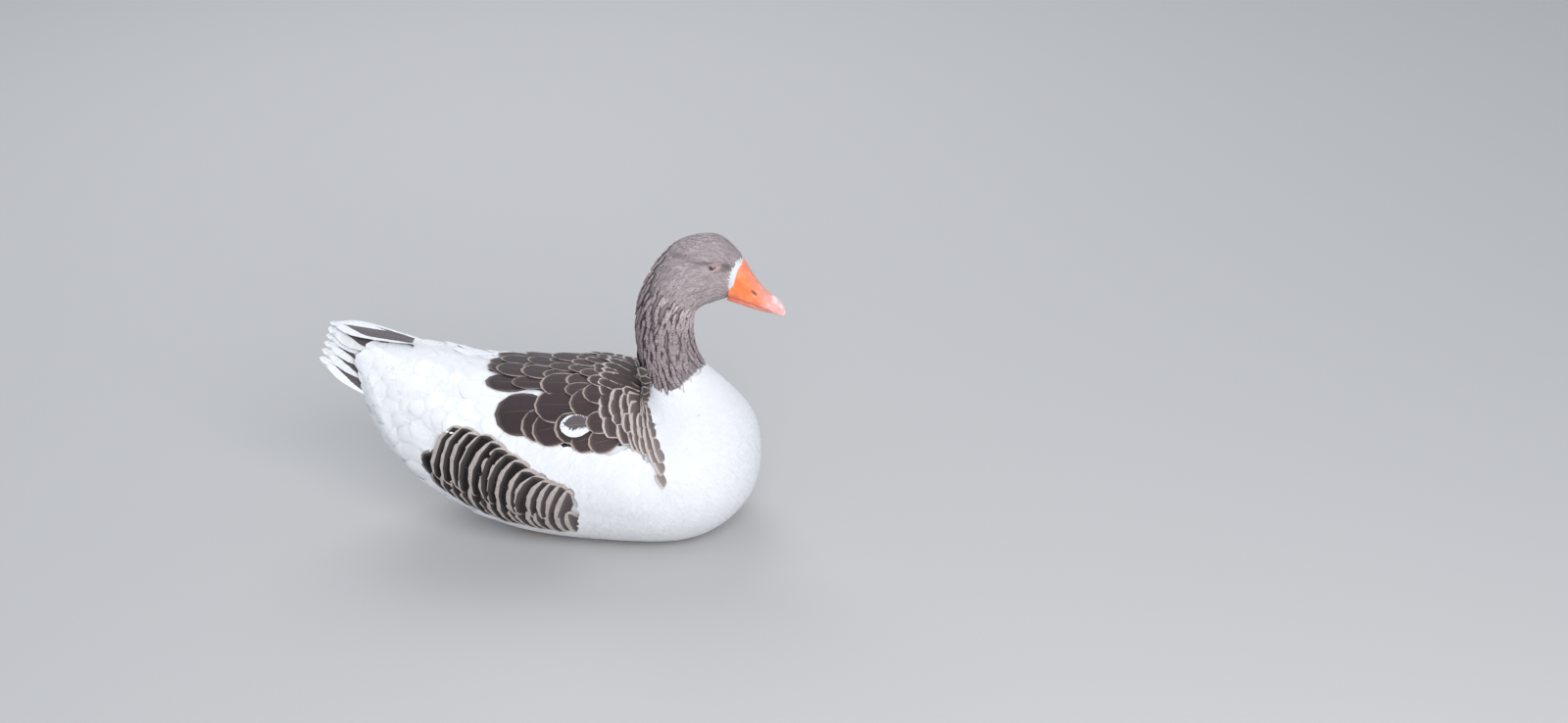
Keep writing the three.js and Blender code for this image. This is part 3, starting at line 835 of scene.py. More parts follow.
class CoatTree:
    """The tree that lays a vane at each root, settles it on the skin and places it on the bake map."""

    inputs = {"Geometry": "NodeSocketGeometry", "Skin": "NodeSocketObject", "Vane": "NodeSocketObject",
              "Finish": "NodeSocketMaterial", "Patch": "NodeSocketFloat", "Floor": "NodeSocketFloat"}

    def __init__(self) -> None:
        """Builds the tree."""
        self.tree = bpy.data.node_groups.new("lay_vanes", "GeometryNodeTree")
        for name, kind in self.inputs.items():
            self.tree.interface.new_socket(name, in_out="INPUT", socket_type=kind)
        self.tree.interface.new_socket("Geometry", in_out="OUTPUT", socket_type="NodeSocketGeometry")
        self.build()

    def add(self, kind: str, links: dict | None = None, **settings: object) -> Node:
        """Adds a node to this tree."""
        return add_node(self.tree, kind, links, **settings)

    def named(self, name: str, kind: str = "FLOAT_VECTOR") -> Socket:
        """The output of a named attribute."""
        return self.add("GeometryNodeInputNamedAttribute", {"Name": name}, data_type=kind).outputs[0]

    def sums(self, operation: str, a: object, b: object) -> Socket:
        """A vector from two vectors, or from a vector and a number for SCALE."""
        key = "Scale" if operation == "SCALE" else 1
        return self.add("ShaderNodeVectorMath", {0: a, key: b}, operation=operation).outputs[0]

    def numbers(self, vector: Socket) -> bpy.types.bpy_prop_collection:
        """A vector's three numbers."""
        return self.add("ShaderNodeSeparateXYZ", {0: vector}).outputs

    def vector(self, *parts: object) -> Socket:
        """A vector of two or three numbers."""
        return self.add("ShaderNodeCombineXYZ", dict(enumerate(parts))).outputs[0]

    def nearest(self, skin: Socket, value: object, at: Socket) -> Socket:
        """A vector of the skin at its point nearest to at."""
        links = {"Mesh": skin, "Value": value, "Sample Position": at}
        return self.add("GeometryNodeSampleNearestSurface", links, data_type="FLOAT_VECTOR").outputs["Value"]

    def build(self) -> None:
        """Joins the nodes, from the roots to the finished coat."""
        given = self.add("NodeGroupInput").outputs
        skin, vane = (self.add("GeometryNodeObjectInfo", {"Object": given[n]}).outputs["Geometry"]
                      for n in ("Skin", "Vane"))
        real = self.spread(given["Geometry"], vane)
        links = {"Geometry": real, "Position": self.settle(skin, given["Floor"])}
        moved = self.add("GeometryNodeSetPosition", links)
        mapped = self.describe(moved.outputs[0], given["Patch"])
        dressed = self.add("GeometryNodeSetMaterial", {"Geometry": mapped, "Material": given["Finish"]})
        self.add("NodeGroupOutput", {0: dressed.outputs[0]})

    def spread(self, roots: Socket, vane: Socket) -> Socket:
        """Puts a real vane of the right size at each root, turned to its lie."""
        turn = self.add("FunctionNodeAxesToRotation", {0: self.named("normal"), 1: self.named("lie")},
                        primary_axis="Z", secondary_axis="X")
        links = {"Points": roots, "Instance": vane, "Rotation": turn.outputs[0], "Scale": self.named("size")}
        laid = self.add("GeometryNodeInstanceOnPoints", links)
        return self.add("GeometryNodeRealizeInstances", {"Geometry": laid.outputs[0]}).outputs[0]

    def settle(self, skin: Socket, floor: Socket) -> Socket:
        """Where each point of a vane lies: bent, cambered and lifted over the skin, and above the floor."""
        normal, lie = self.named("normal"), self.named("lie")
        along, rise = self.named("along", "FLOAT"), self.named("rise", "FLOAT")
        lifts, extra = self.numbers(self.named("lift")), self.numbers(self.named("extra"))
        side = self.sums("CROSS_PRODUCT", normal, lie)
        curve = maths(self.tree, "MULTIPLY", maths(self.tree, "MULTIPLY", along, along), extra["X"])
        flat = self.add("GeometryNodeInputPosition").outputs[0]
        straight = self.sums("ADD", flat, self.sums("SCALE", side, curve))
        height = maths(self.tree, "MULTIPLY_ADD", along, lifts["Y"], lifts["X"])
        height = maths(self.tree, "MULTIPLY_ADD", rise, lifts["Z"], height)
        free = self.sums("ADD", straight, self.sums("SCALE", normal, height))
        near, out = (self.nearest(skin, value, straight) for value in (flat, self.named("out")))
        settled = self.sums("ADD", near, self.sums("SCALE", out, height))
        place = self.add("ShaderNodeMix", {0: extra["Y"], 4: free, 5: settled}, data_type="VECTOR").outputs[1]
        axes = self.numbers(place)
        return self.vector(axes["X"], axes["Y"], maths(self.tree, "MAXIMUM", axes["Z"], floor))

    def describe(self, geometry: Socket, patch: Socket) -> Socket:
        """Stores each point's place on its feather in metres, and on the bake map."""
        along, across = self.named("along", "FLOAT"), self.named("across", "FLOAT")
        sizes = self.numbers(self.named("size"))
        spot = self.vector(maths(self.tree, "MULTIPLY", along, sizes["X"]),
                           maths(self.tree, "MULTIPLY", across, sizes["Y"]))
        cell = self.vector(maths(self.tree, "MULTIPLY", across, 0.5),
                           maths(self.tree, "SUBTRACT", 0.5, along))
        mapped = self.sums("ADD", self.named("flat"), self.sums("SCALE", cell, patch))
        geometry = self.store(geometry, "spot", spot, "FLOAT_VECTOR", "POINT")
        return self.store(geometry, "OFBake", mapped, "FLOAT2", "CORNER")

    def store(self, geometry: object, name: str, value: object, kind: str, domain: str) -> Socket:
        """Stores a value under a name."""
        links = {"Geometry": geometry, "Name": name, "Value": value}
        return self.add("GeometryNodeStoreNamedAttribute", links, data_type=kind, domain=domain).outputs[0]

    def lay(self, name: str, points: Piece, values: dict[str, object]) -> Piece:
        """Runs the tree on a cloud of roots and turns the result into a plain mesh.

        Args:
            name: the piece's name.
            points: the roots.
            values: what each named input is given.

        Returns:
            The piece.
        """
        modifier = points.modifiers.new("coat", "NODES")
        modifier.node_group = self.tree
        for item in self.tree.interface.items_tree:
            if item.in_out == "INPUT" and item.name in values:
                modifier[item.identifier] = values[item.name]
        graph = bpy.context.evaluated_depsgraph_get()
        mesh = bpy.data.meshes.new_from_object(points.evaluated_get(graph), preserve_all_data_layers=True,
                                               depsgraph=graph)
        points.modifiers.remove(modifier)
        mesh.name = name
        for spare in ("normal", "lie", "lift", "extra", "flat", "rise"):
            if spare in mesh.attributes:
                mesh.attributes.remove(mesh.attributes[spare])
        points.data = mesh
        return points


# ---- Finding places on the skin ----


class Chart:
    """Finds places on the skin: by chance at a spacing, or at a given x and bearing."""

    step_s = 0.02
    step_a = math.radians(1)
    bearing_scale = 2.0

    def __init__(self) -> None:
        """Tabulates the skin."""
        self.s, self.angle = np.meshgrid(np.arange(0.02, FACE_TO, self.step_s),
                                         np.arange(-PI, PI, self.step_a), indexing="ij")
        self.points = SKIN.point(self.s, self.angle)
        ahead = np.diff(self.points, axis=0, append=self.points[-1:])
        round_ = np.roll(self.points, -1, axis=1) - self.points
        self.area = np.linalg.norm(np.cross(ahead, round_), axis=-1)
        self.bearing = HULL.bearing(self.points)
        trunk = (self.s < CHART_TO) & (self.angle <= 0)
        self.trunk_s, self.trunk_a = self.s[trunk], self.angle[trunk]
        self.tree = KDTree(len(self.trunk_s))
        for i, (p, b) in enumerate(zip(self.points[trunk], self.bearing[trunk])):
            self.tree.insert((p[0], b * self.bearing_scale, 0), i)
        self.tree.balance()

    def scatter(self, spacing: Array, seed: int, tries: float = 5.0) -> Arrays:
        """Places no two of which are nearer than the spacing.

        Args:
            spacing: the spacing in mm at each place of the table, or 0 where none may lie.
            seed: of the random numbers.
            tries: how many places are tried for each that fits.

        Returns:
            Their ring numbers and angles.
        """
        rng = np.random.default_rng(seed)
        weight = np.where(spacing > 0, self.area / np.maximum(spacing, 0.5) ** 2, 0).ravel()
        chosen = rng.choice(weight.size, int(weight.sum() * tries), p=weight / weight.sum())
        s = self.s.ravel()[chosen] + rng.uniform(0, self.step_s, chosen.size)
        angle = self.angle.ravel()[chosen] + rng.uniform(0, self.step_a, chosen.size)
        reach, points = spacing.ravel()[chosen], SKIN.point(s, angle)
        tree = KDTree(len(points))
        for i, p in enumerate(points):
            tree.insert(p, i)
        tree.balance()
        free = np.ones(len(points), bool)
        for i in range(len(points)):
            if free[i]:
                for _, j, _ in tree.find_range(points[i], reach[i]):
                    free[j] = j <= i and free[j]
        return s[free], angle[free]

    def at(self, x: Array, bearing: Array, side: Array) -> Arrays:
        """Ring numbers and angles of the skin at an x, a bearing and a side: 1 is the left, -1 the right."""
        found = [self.tree.find((u, v * self.bearing_scale, 0))[1] for u, v in zip(x, np.abs(bearing))]
        return self.trunk_s[found], -self.trunk_a[found] * side * np.where(bearing < 0, -1, 1)


@dataclass
class Coat:
    """The whole coat, tract by tract."""

    skin: Piece
    seed: int = 11
    small_patch: float = 0.003
    neck_columns: int = 46
    floor: float = 0.6
    limit: int = 185_000
    # Spacings and lengths of the body's feathers and the rump's lobes, in mm.
    dense: float = 5.8
    sparse: float = 8.5
    body_length: Pair = (28, 34)
    lobes_apart: float = 15.0
    lobe_length: Pair = (36, 50)
    # How long a body feather is by ring number, how far it sinks before the collar, and the neck's and the
    # head's sizes by ring number.
    body_growth: Pairs = ((0, 0.8), (1, 0.95), (3, 1.1), (8, 0.85), (9.8, 0.55))
    sink_at_collar: Pairs = ((0, 0.4), (0.9, 1))
    lock_size: Pairs = ((9.2, 1.05), (10.5, 0.95), (12.0, 0.9), (12.5, 0.75), (13.2, 0.55))
    velvet_apart: Pairs = ((12.5, 2.6), (14, 2.2), (15.5, 1.7))
    velvet_length: Pairs = ((12.5, 8.5), (14, 6.5), (15.5, 4.2))

    def __post_init__(self) -> None:
        """Makes the chart, the tree, the vanes and the feather finishes."""
        self.chart = Chart()
        self.tree = CoatTree()
        self.rng = np.random.default_rng(self.seed)
        self.vanes = {v.name: v.build() for v in (FINE, SMALL, LOCKED, BROAD, SQUARE, LONG)}
        # White barbs barely darker in their splits, with light let in: one soft, bright surface.
        self.white = FeatherVane("white_contour_feather", 0.7, streak=0.95, relief_depth=0.12,
                                 glow=0.12).build()
        # Short dull barbs with a sheen at the edges: the plush of the head.
        self.velvet = FeatherVane("velvet_head_feather", 0.85, relief_depth=0.12, streak=0.8,
                                  sheen=0.2).build()
        # Barbs that stick together in locks, with a painted highlight on their ridges and painted shade in
        # the furrows between.
        self.lock = FeatherVane("furrowed_neck_feather", 0.8, pattern=Pattern.LOCK, relief_depth=0.5).build()

    def noise(self, count: int, low: float, high: float) -> Array:
        """Random numbers between two ends."""
        return self.rng.uniform(low, high, count)

    def grow(self, s: Array, angle: Array, turn: Array | float, **sizes: Array | float) -> Roots:
        """Roots that lie towards the tail along the rings.

        Args:
            s: their ring numbers.
            angle: their angles.
            turn: degrees by which each turns away from that way, towards the belly.
            sizes: the rest of their numbers, in mm.

        Returns:
            The roots.
        """
        place = SKIN.point(s, angle)
        normal, ahead = HULL.axes(s, angle)
        down = unit(np.cross(ahead, normal))
        to_belly = HULL.point(s, angle * 1.02) - HULL.point(s, angle * 0.98)
        down *= np.sign(np.sum(down * to_belly, -1))[:, None]
        turn = np.radians(turn) * np.ones(len(s))
        lie = -ahead * np.cos(turn)[:, None] + down * np.sin(turn)[:, None]
        return self.roots(s, angle, place, normal, lie, sizes)

    def roots(self, s: Array, angle: Array, place: Array, normal: Array, lie: Array, sizes: dict) -> Roots:
        """Fills in the numbers that each root carries."""
        full = {"camber": 0.6, "lift": 0.4, "tip_lift": 1.0, "bend": 0.0, "hug": 1.0, **sizes}
        tint = full.pop("tint", MARKS.colour(place, s, angle))
        numbers = {k: np.ones(len(s)) * v for k, v in full.items()}
        return Roots(place=place, normal=normal, lie=lie, flat=SKIN.unwrap(s, angle),
                     tint=np.ones((len(s), 4)) * tint, **numbers)

    def lay(self, name: str, roots: Roots, vane: Vane, finish: Material, slot: str,
            patch: float | None = None, replaced: Sequence[str] = ()) -> None:
        """Lays a tract, in as many pieces as its triangles need.

        Args:
            name: the tract's name.
            roots: where its feathers grow.
            vane: the shape of each.
            finish: their material.
            slot: the record's material slot; not used.
            patch: the size of each feather's patch on the bake map.
            replaced: the solids that the first piece stands for.
        """
        model = self.vanes[vane.name]
        model.data.calc_loop_triangles()
        per = len(model.data.loop_triangles)
        pieces = max(1, math.ceil(len(roots) * per / self.limit))
        for number, chosen in enumerate(np.array_split(np.argsort(roots.place[:, 0]), pieces)):
            part = roots.part(chosen)
            title = name if pieces == 1 else f"{name}_{number + 1}"
            extra = np.stack([part.bend * MM, part.hug, np.zeros(len(part))], -1)
            size = np.stack([part.length * MM, part.width * MM / 2, np.ones(len(part))], -1)
            lift = np.stack([part.lift, part.tip_lift, part.camber], -1) * MM
            cloud = mesh_object(title, part.place, [], normal=part.normal, lie=part.lie, size=size, lift=lift,
                                extra=extra, tint=part.tint, shade=self.noise(len(part), 0, 1),
                                flat=np.pad(part.flat, ((0, 0), (0, 1))))
            values = {"Skin": self.skin, "Vane": model, "Finish": finish, "Patch": patch or self.small_patch,
                      "Floor": self.floor * MM}
            keep(self.tree.lay(title, cloud, values), slot, replaced if number == 0 else ())

    def clear(self) -> None:
        """Removes the model vanes once all is laid."""
        for vane in self.vanes.values():
            bpy.data.objects.remove(vane)

    def lay_body(self) -> None:
        """Lays the white contour feathers of breast, belly, rump and vent."""
        spacing = np.where(self.under(), self.sparse, self.dense) * self.is_white()
        s, angle = self.chart.scatter(spacing, self.seed + 1)
        n = len(s)
        length = self.noise(n, *self.body_length) * look_up(self.body_growth, s)
        clear = ~self.runs_into_marking(s, angle, length)
        depth = SKIN.depth(s) * np.where(clear, 1, 0.4)
        depth *= look_up(self.sink_at_collar, MARKS.collar(angle) - s)
        calm = 1 - 0.4 * smooth(4.5, 6.5, s)
        roots = self.grow(s, angle, self.noise(n, -5, 5), length=length,
                          width=length * self.noise(n, 0.8, 0.92), camber=0.3 * np.where(clear, calm, 0.6),
                          lift=depth * (0.88 - 0.26 * calm), tip_lift=depth * 0.26 * calm)
        self.lay("body_feathers", roots, SMALL, self.white, "white_feather")

    def lay_rump(self) -> None:
        """Lays larger soft feathers over the rump and the vent, each a little off its neighbours' lie."""
        rear = (self.chart.s < 3.9) & (self.chart.bearing > 25) & ~self.under()
        s, angle = self.chart.scatter(np.where(self.is_white() & rear, self.lobes_apart, 0), self.seed + 4)
        length = self.noise(len(s), *self.lobe_length)
        clear = ~self.runs_into_marking(s, angle, length)
        s, angle, length = s[clear], angle[clear], length[clear]
        n = len(s)
        roots = self.grow(s, angle, self.noise(n, -14, 14), length=length,
                          width=length * self.noise(n, 0.66, 0.85), camber=2.2, lift=SKIN.depth(s) * 0.6,
                          tip_lift=self.noise(n, 1.5, 4.2))
        self.lay("rump_feathers", roots, BROAD, self.white, "white_feather")

    def under(self) -> Array:
        """Which places of the chart lie under the belly, where few feathers are needed."""
        return self.chart.points[..., 2] < SKIN.bed_foot + 2

    def is_white(self) -> Array:
        """Which places of the chart grow white body feathers: not the dark patches, nor the tail's bed."""
        c = self.chart
        x, bearing = c.points[..., 0], c.bearing
        flank = (inside(MARKS.flank, x - 9, bearing) & inside(MARKS.flank, x + 9, bearing)
                 & inside(MARKS.flank, x, bearing - 5))
        tail_bed = ((c.s < 1.35) & (bearing < 62)) | ((c.s < 1.95) & (bearing < 13))
        return (c.s < MARKS.collar(c.angle)) & ~(inside(MARKS.saddle, x, bearing) | flank) & ~tail_bed

    def runs_into_marking(self, s: Array, angle: Array, length: Array) -> Array:
        """Which white feathers would lie with their tips over the saddle or the flank."""
        place = SKIN.point(s, angle)
        _, ahead = HULL.axes(s, angle)
        tip = place - ahead * (0.85 * length)[:, None]
        bearing, x = HULL.bearing(tip), tip[:, 0]
        return (s < TRUNK_TO) & (inside(MARKS.saddle, x, bearing) | inside(MARKS.flank, x, bearing))

    def lay_neck(self) -> None:
        """Lays the neck's locks in columns, so that wavy ridges and furrows run down it."""
        found = []
        for column in range(self.neck_columns):
            wave, drift = self.noise(2, 0, 1)
            turn = -PI + 2 * PI * (column + 0.5) / self.neck_columns
            foot = float(MARKS.collar(np.array(turn)))
            s = foot + 0.36 + np.cumsum(self.noise(14, 0.24, 0.38)) - 0.24
            sway = 0.085 * np.sin(2.6 * s + 6.3 * wave)
            found.append((s, turn + sway + 0.03 * np.sin(7.0 * s + 6.3 * drift)))
        s, angle = (np.concatenate(v) for v in zip(*found))
        size = look_up(self.lock_size, s)
        speed = np.linalg.norm(HULL.point(s + 0.05, angle) - HULL.point(s - 0.05, angle), axis=-1) / 0.1
        nape = smooth(70, 40, np.degrees(np.abs(angle)))
        size *= 1 - nape * np.interp(MARKS.velvet_from(angle) + 0.08 - s, [0, 0.4], [0.5, 0])
        length = 24 * size * self.noise(len(s), 0.85, 1.15)
        grows = (s - MARKS.collar(angle)) * speed > 0.8 * length - 6
        grows &= s < MARKS.velvet_from(angle) + 0.08
        s, angle, size, length = (v[grows] for v in (s, angle, size, length))
        n = len(s)
        smoothed = smooth(70, 150, np.degrees(np.abs(angle))) * smooth(12.0, 10.8, s)
        tint = MARKS.colour(SKIN.point(s, angle), s, angle)
        tint[:, :3] *= 1 - 0.12 * smoothed[:, None]
        # The alpha sets how strong the furrows' painted shade is.
        tint[:, 3] = 1 - 0.55 * smoothed
        turn = 9 * np.sin(np.abs(angle)) * smooth(11.5, 12.5, s) + self.noise(n, -13, 13)
        roots = self.grow(s, angle, turn, length=length, width=7.4 * size * self.noise(n, 0.75, 1.25),
                          tint=tint, camber=3.3 * size * (1 - 0.55 * smoothed), lift=0.1,
                          tip_lift=1.9 * size, bend=self.noise(n, -3, 3) * size)
        self.lay("neck_feathers", roots, LOCKED, self.lock, "grey_feather")

    def lay_head(self) -> None:
        """Lays the head's velvet of tiny feathers, finest round the eye and the bill."""
        c = self.chart
        x, z = c.points[..., 0], c.points[..., 2]
        eye = np.hypot((x - EYE[0]) / 10.5, (z - EYE[2]) / 7.5)
        eye = eye * np.where(np.abs(c.points[..., 1]) > 15, 1, 9)
        face = c.s < SKIN.face_end(c.angle) - 0.03
        grows = (c.s > MARKS.velvet_from(c.angle)) & (eye > 1) & face
        s, angle = c.scatter(np.where(grows, look_up(self.velvet_apart, c.s), 0), self.seed + 2, 4.0)
        n = len(s)
        length = look_up(self.velvet_length, s) * self.noise(n, 0.85, 1.15)
        depth = SKIN.depth(s)
        band = s > MARKS.bill_band(angle)
        tint = MARKS.colour(SKIN.point(s, angle), s, angle)
        fleck = 1 + 0.09 * np.sin(9 * s + 5 * np.sin(7 * angle)) + self.noise(n, -0.09, 0.09)
        tint[:, :3] *= np.where(band, 1, fleck)[:, None]
        roots = self.grow(s, angle, self.noise(n, -8, 8), length=length, width=length * 0.42, camber=0.35,
                          lift=depth * 0.35, tip_lift=depth * 0.5, tint=tint)
        self.lay("head_feathers", roots.part(~band), FINE, self.velvet, "grey_feather")
        self.lay("band_feathers", roots.part(band), FINE, self.white, "white_feather")


# ---- Big feathers, row by row ----


@dataclass(frozen=True)
class Row:
    """A row of big feathers: where their tips end, and their sizes in mm and degrees.

    edge is how clear their pale edges are, and up how far the row stands over its neighbours.
    """

    tip_x: float
    bearings: Pair
    count: int
    length: float
    width: float
    turn: float = 0.0
    edge: float = 1.0
    up: float = 0.0


def lone(tip_x: float, bearing: float, length: float, width: float, turn: float = 0.0, edge: float = 1.0,
         up: float = 0.0) -> Row:
    """A single feather on each side."""
    return Row(tip_x, (bearing, bearing), 1, length, width, turn, edge, up)


# The saddle's large rear feathers, from the tail forward: an upper group beside the spine, and a lower one.
SADDLE_REAR = (
    lone(-119, 4, 66, 34, 0, 0.3), lone(-115, 27, 68, 34, 3, 0.15), lone(-108, 9, 64, 32, 1, 0.8, 1.5),
    lone(-106, 38.5, 44, 8, 14, 0.1, -2), lone(-90, 57, 74, 62, 6, 0.1), lone(-81, 27, 58, 26, 4, 0.4),
    lone(-73, 11, 54, 32, 2, 0.8, 1), lone(-73, -1, 54, 30, 0, 0.5), lone(-56, 66, 58, 46, 16, 0.9),
    lone(-45, 13, 50, 26, 3, 0.7), lone(-44, 26, 60, 44, 3, 1, 1), lone(-40, 1, 46, 24, 0, 0.6),
    lone(-43, 49, 66, 56, 2, 1, 0.5), lone(-39, 69, 56, 46, 18, 1), lone(-15, 68, 52, 44, 16, 1, 1),
    lone(-14, 6, 42, 22, 1, 1, 1.5), lone(-12, 22, 46, 30, 3), lone(-2, 47, 54, 48, 5, 1, 1),
    lone(2, 13, 40, 20, 2, 1, 1), lone(12, 39, 48, 36, 8, 1, 1), lone(14, 24, 40, 24, 3, 1, 1.5),
    lone(-10, 34, 50, 28, 3, 0.7), lone(8, 74, 44, 34, 18), lone(24, 63, 44, 34, 16, 1, 0.5),
    lone(16, 3, 36, 20, 0), lone(30, 76, 38, 30, 18),
)
# The one ruffled feather of the right side that shows its white fringe.
RUFFLED = (lone(-6, 66, 41, 29, 10, 1, 3),)
# Long feathers that run back from the neck's foot on each side of the spine.
MANTLE_TOP = (Row(26, (6, 30), 3, 60, 22, 0, 1, 0.5), Row(42, (2, 34), 4, 52, 20, 2, 1, 0.8),
              Row(58, (5, 30), 4, 42, 18, 4, 1, 1), Row(72, (3, 30), 4, 30, 16, 8, 1, 1.2),
              Row(81, (8, 34), 4, 20, 14, 12, 1, 1.4))
# Where the mantle's lines of tips start, in mm along x.
MANTLE_LINES = (30, 43, 54, 64, 73, 81, 88)
# The mantle's front border as (bearing, x), its lower one as (x, bearing), and its feathers' turn by bearing.
MANTLE_FRONT = ((22, 89), (45, 93), (59, 99), (70, 105), (77, 111), (82, 117), (98, 119))
MANTLE_LOW = ((45, 82), (65, 79), (77, 77), (91, 78), (101, 85), (111, 95), (116, 100))
MANTLE_TURN = ((35, 10), (65, 16), (100, 38))
# The flank's upper and lower borders, as (x, bearing).
FLANK_HIGH = ((-172, 70), (-142, 61), (-129, 62), (-96, 72), (-71, 77), (-45, 84), (-9, 91), (14, 96))
FLANK_LOW = ((-186, 124), (-140, 129), (-86, 132), (-35, 132))
# The flank's two tiers: share of the height, width as a share of it, turn, and step forward in mm.
FLANK_TIERS = ((0.34, 0.74, -20, 0.0), (0.78, 0.56, 8, 5.0))


def mantle_rows() -> list[Row]:
    """The mantle's feathers, in lines that lean forward down the side and run out in a point."""
    rows = []
    for number, x in enumerate(MANTLE_LINES):
        width = 32 - 2.2 * number
        pitch = 0.8 * width / 2.25
        for bearing in np.arange(35 + (number % 2) * pitch / 2, 100, pitch):
            front = float(look_up(MANTLE_FRONT, bearing))
            tip = min(x + 0.6 * (bearing - 45) + 0.02 * max(0.0, bearing - 65) ** 2,
                      front - 5 - 7 * (len(MANTLE_LINES) - 1 - number))
            if bearing > look_up(MANTLE_LOW, tip):
                break
            length = min(1.75 * width, max(front + 3 - tip, 12.0))
            turn = float(look_up(MANTLE_TURN, bearing))
            rows.append(lone(float(tip), float(bearing), length, width, turn, 1, 0.3 * number))
    return rows


def flank_rows() -> list[Row]:
    """The flank's tall feathers, one behind another in two tiers, with a lobe at the rear."""
    rows = [lone(-197, 99, 52, 50, 10, 0.5, -1.5), lone(-186, 114, 50, 46, 16, 0.8, -1)]
    for number, x in enumerate(np.arange(-173, -4, 12.3)):
        high, low = float(look_up(FLANK_HIGH, x + 24)), float(look_up(FLANK_LOW, x))
        span = (low - high) * (1.9 if x < -140 else 2.2)
        drift = 3.5 * (number % 3 - 1)
        length = min(54.0, max(20.0, 3.0 - x))
        for share, reach, turn, along in FLANK_TIERS:
            bearing = high + (low - high) * share + drift * 0.3
            rows.append(lone(float(x + along), bearing, length, float(reach * span), turn + drift, 1,
                             1.2 * (share < 0.5)))
    return rows


WING_ROWS = (
    lone(-238, 36, 124, 48), lone(-212, 23, 105, 44), lone(-184, 55, 105, 52, 4), lone(-168, 39, 100, 50, 2),
    lone(-150, 25, 90, 44), lone(-136, 57, 90, 46, 4), lone(-120, 43, 90, 46, 2),
)
TAIL_COVERTS = (
    lone(-268, 21, 52, 26, 4), lone(-268, 33, 50, 30, 6), lone(-260, 47, 46, 34, 8),
    lone(-248, 34, 50, 36, 6), lone(-251, 22, 46, 32, 4), lone(-252, 60, 44, 36, 10),
)


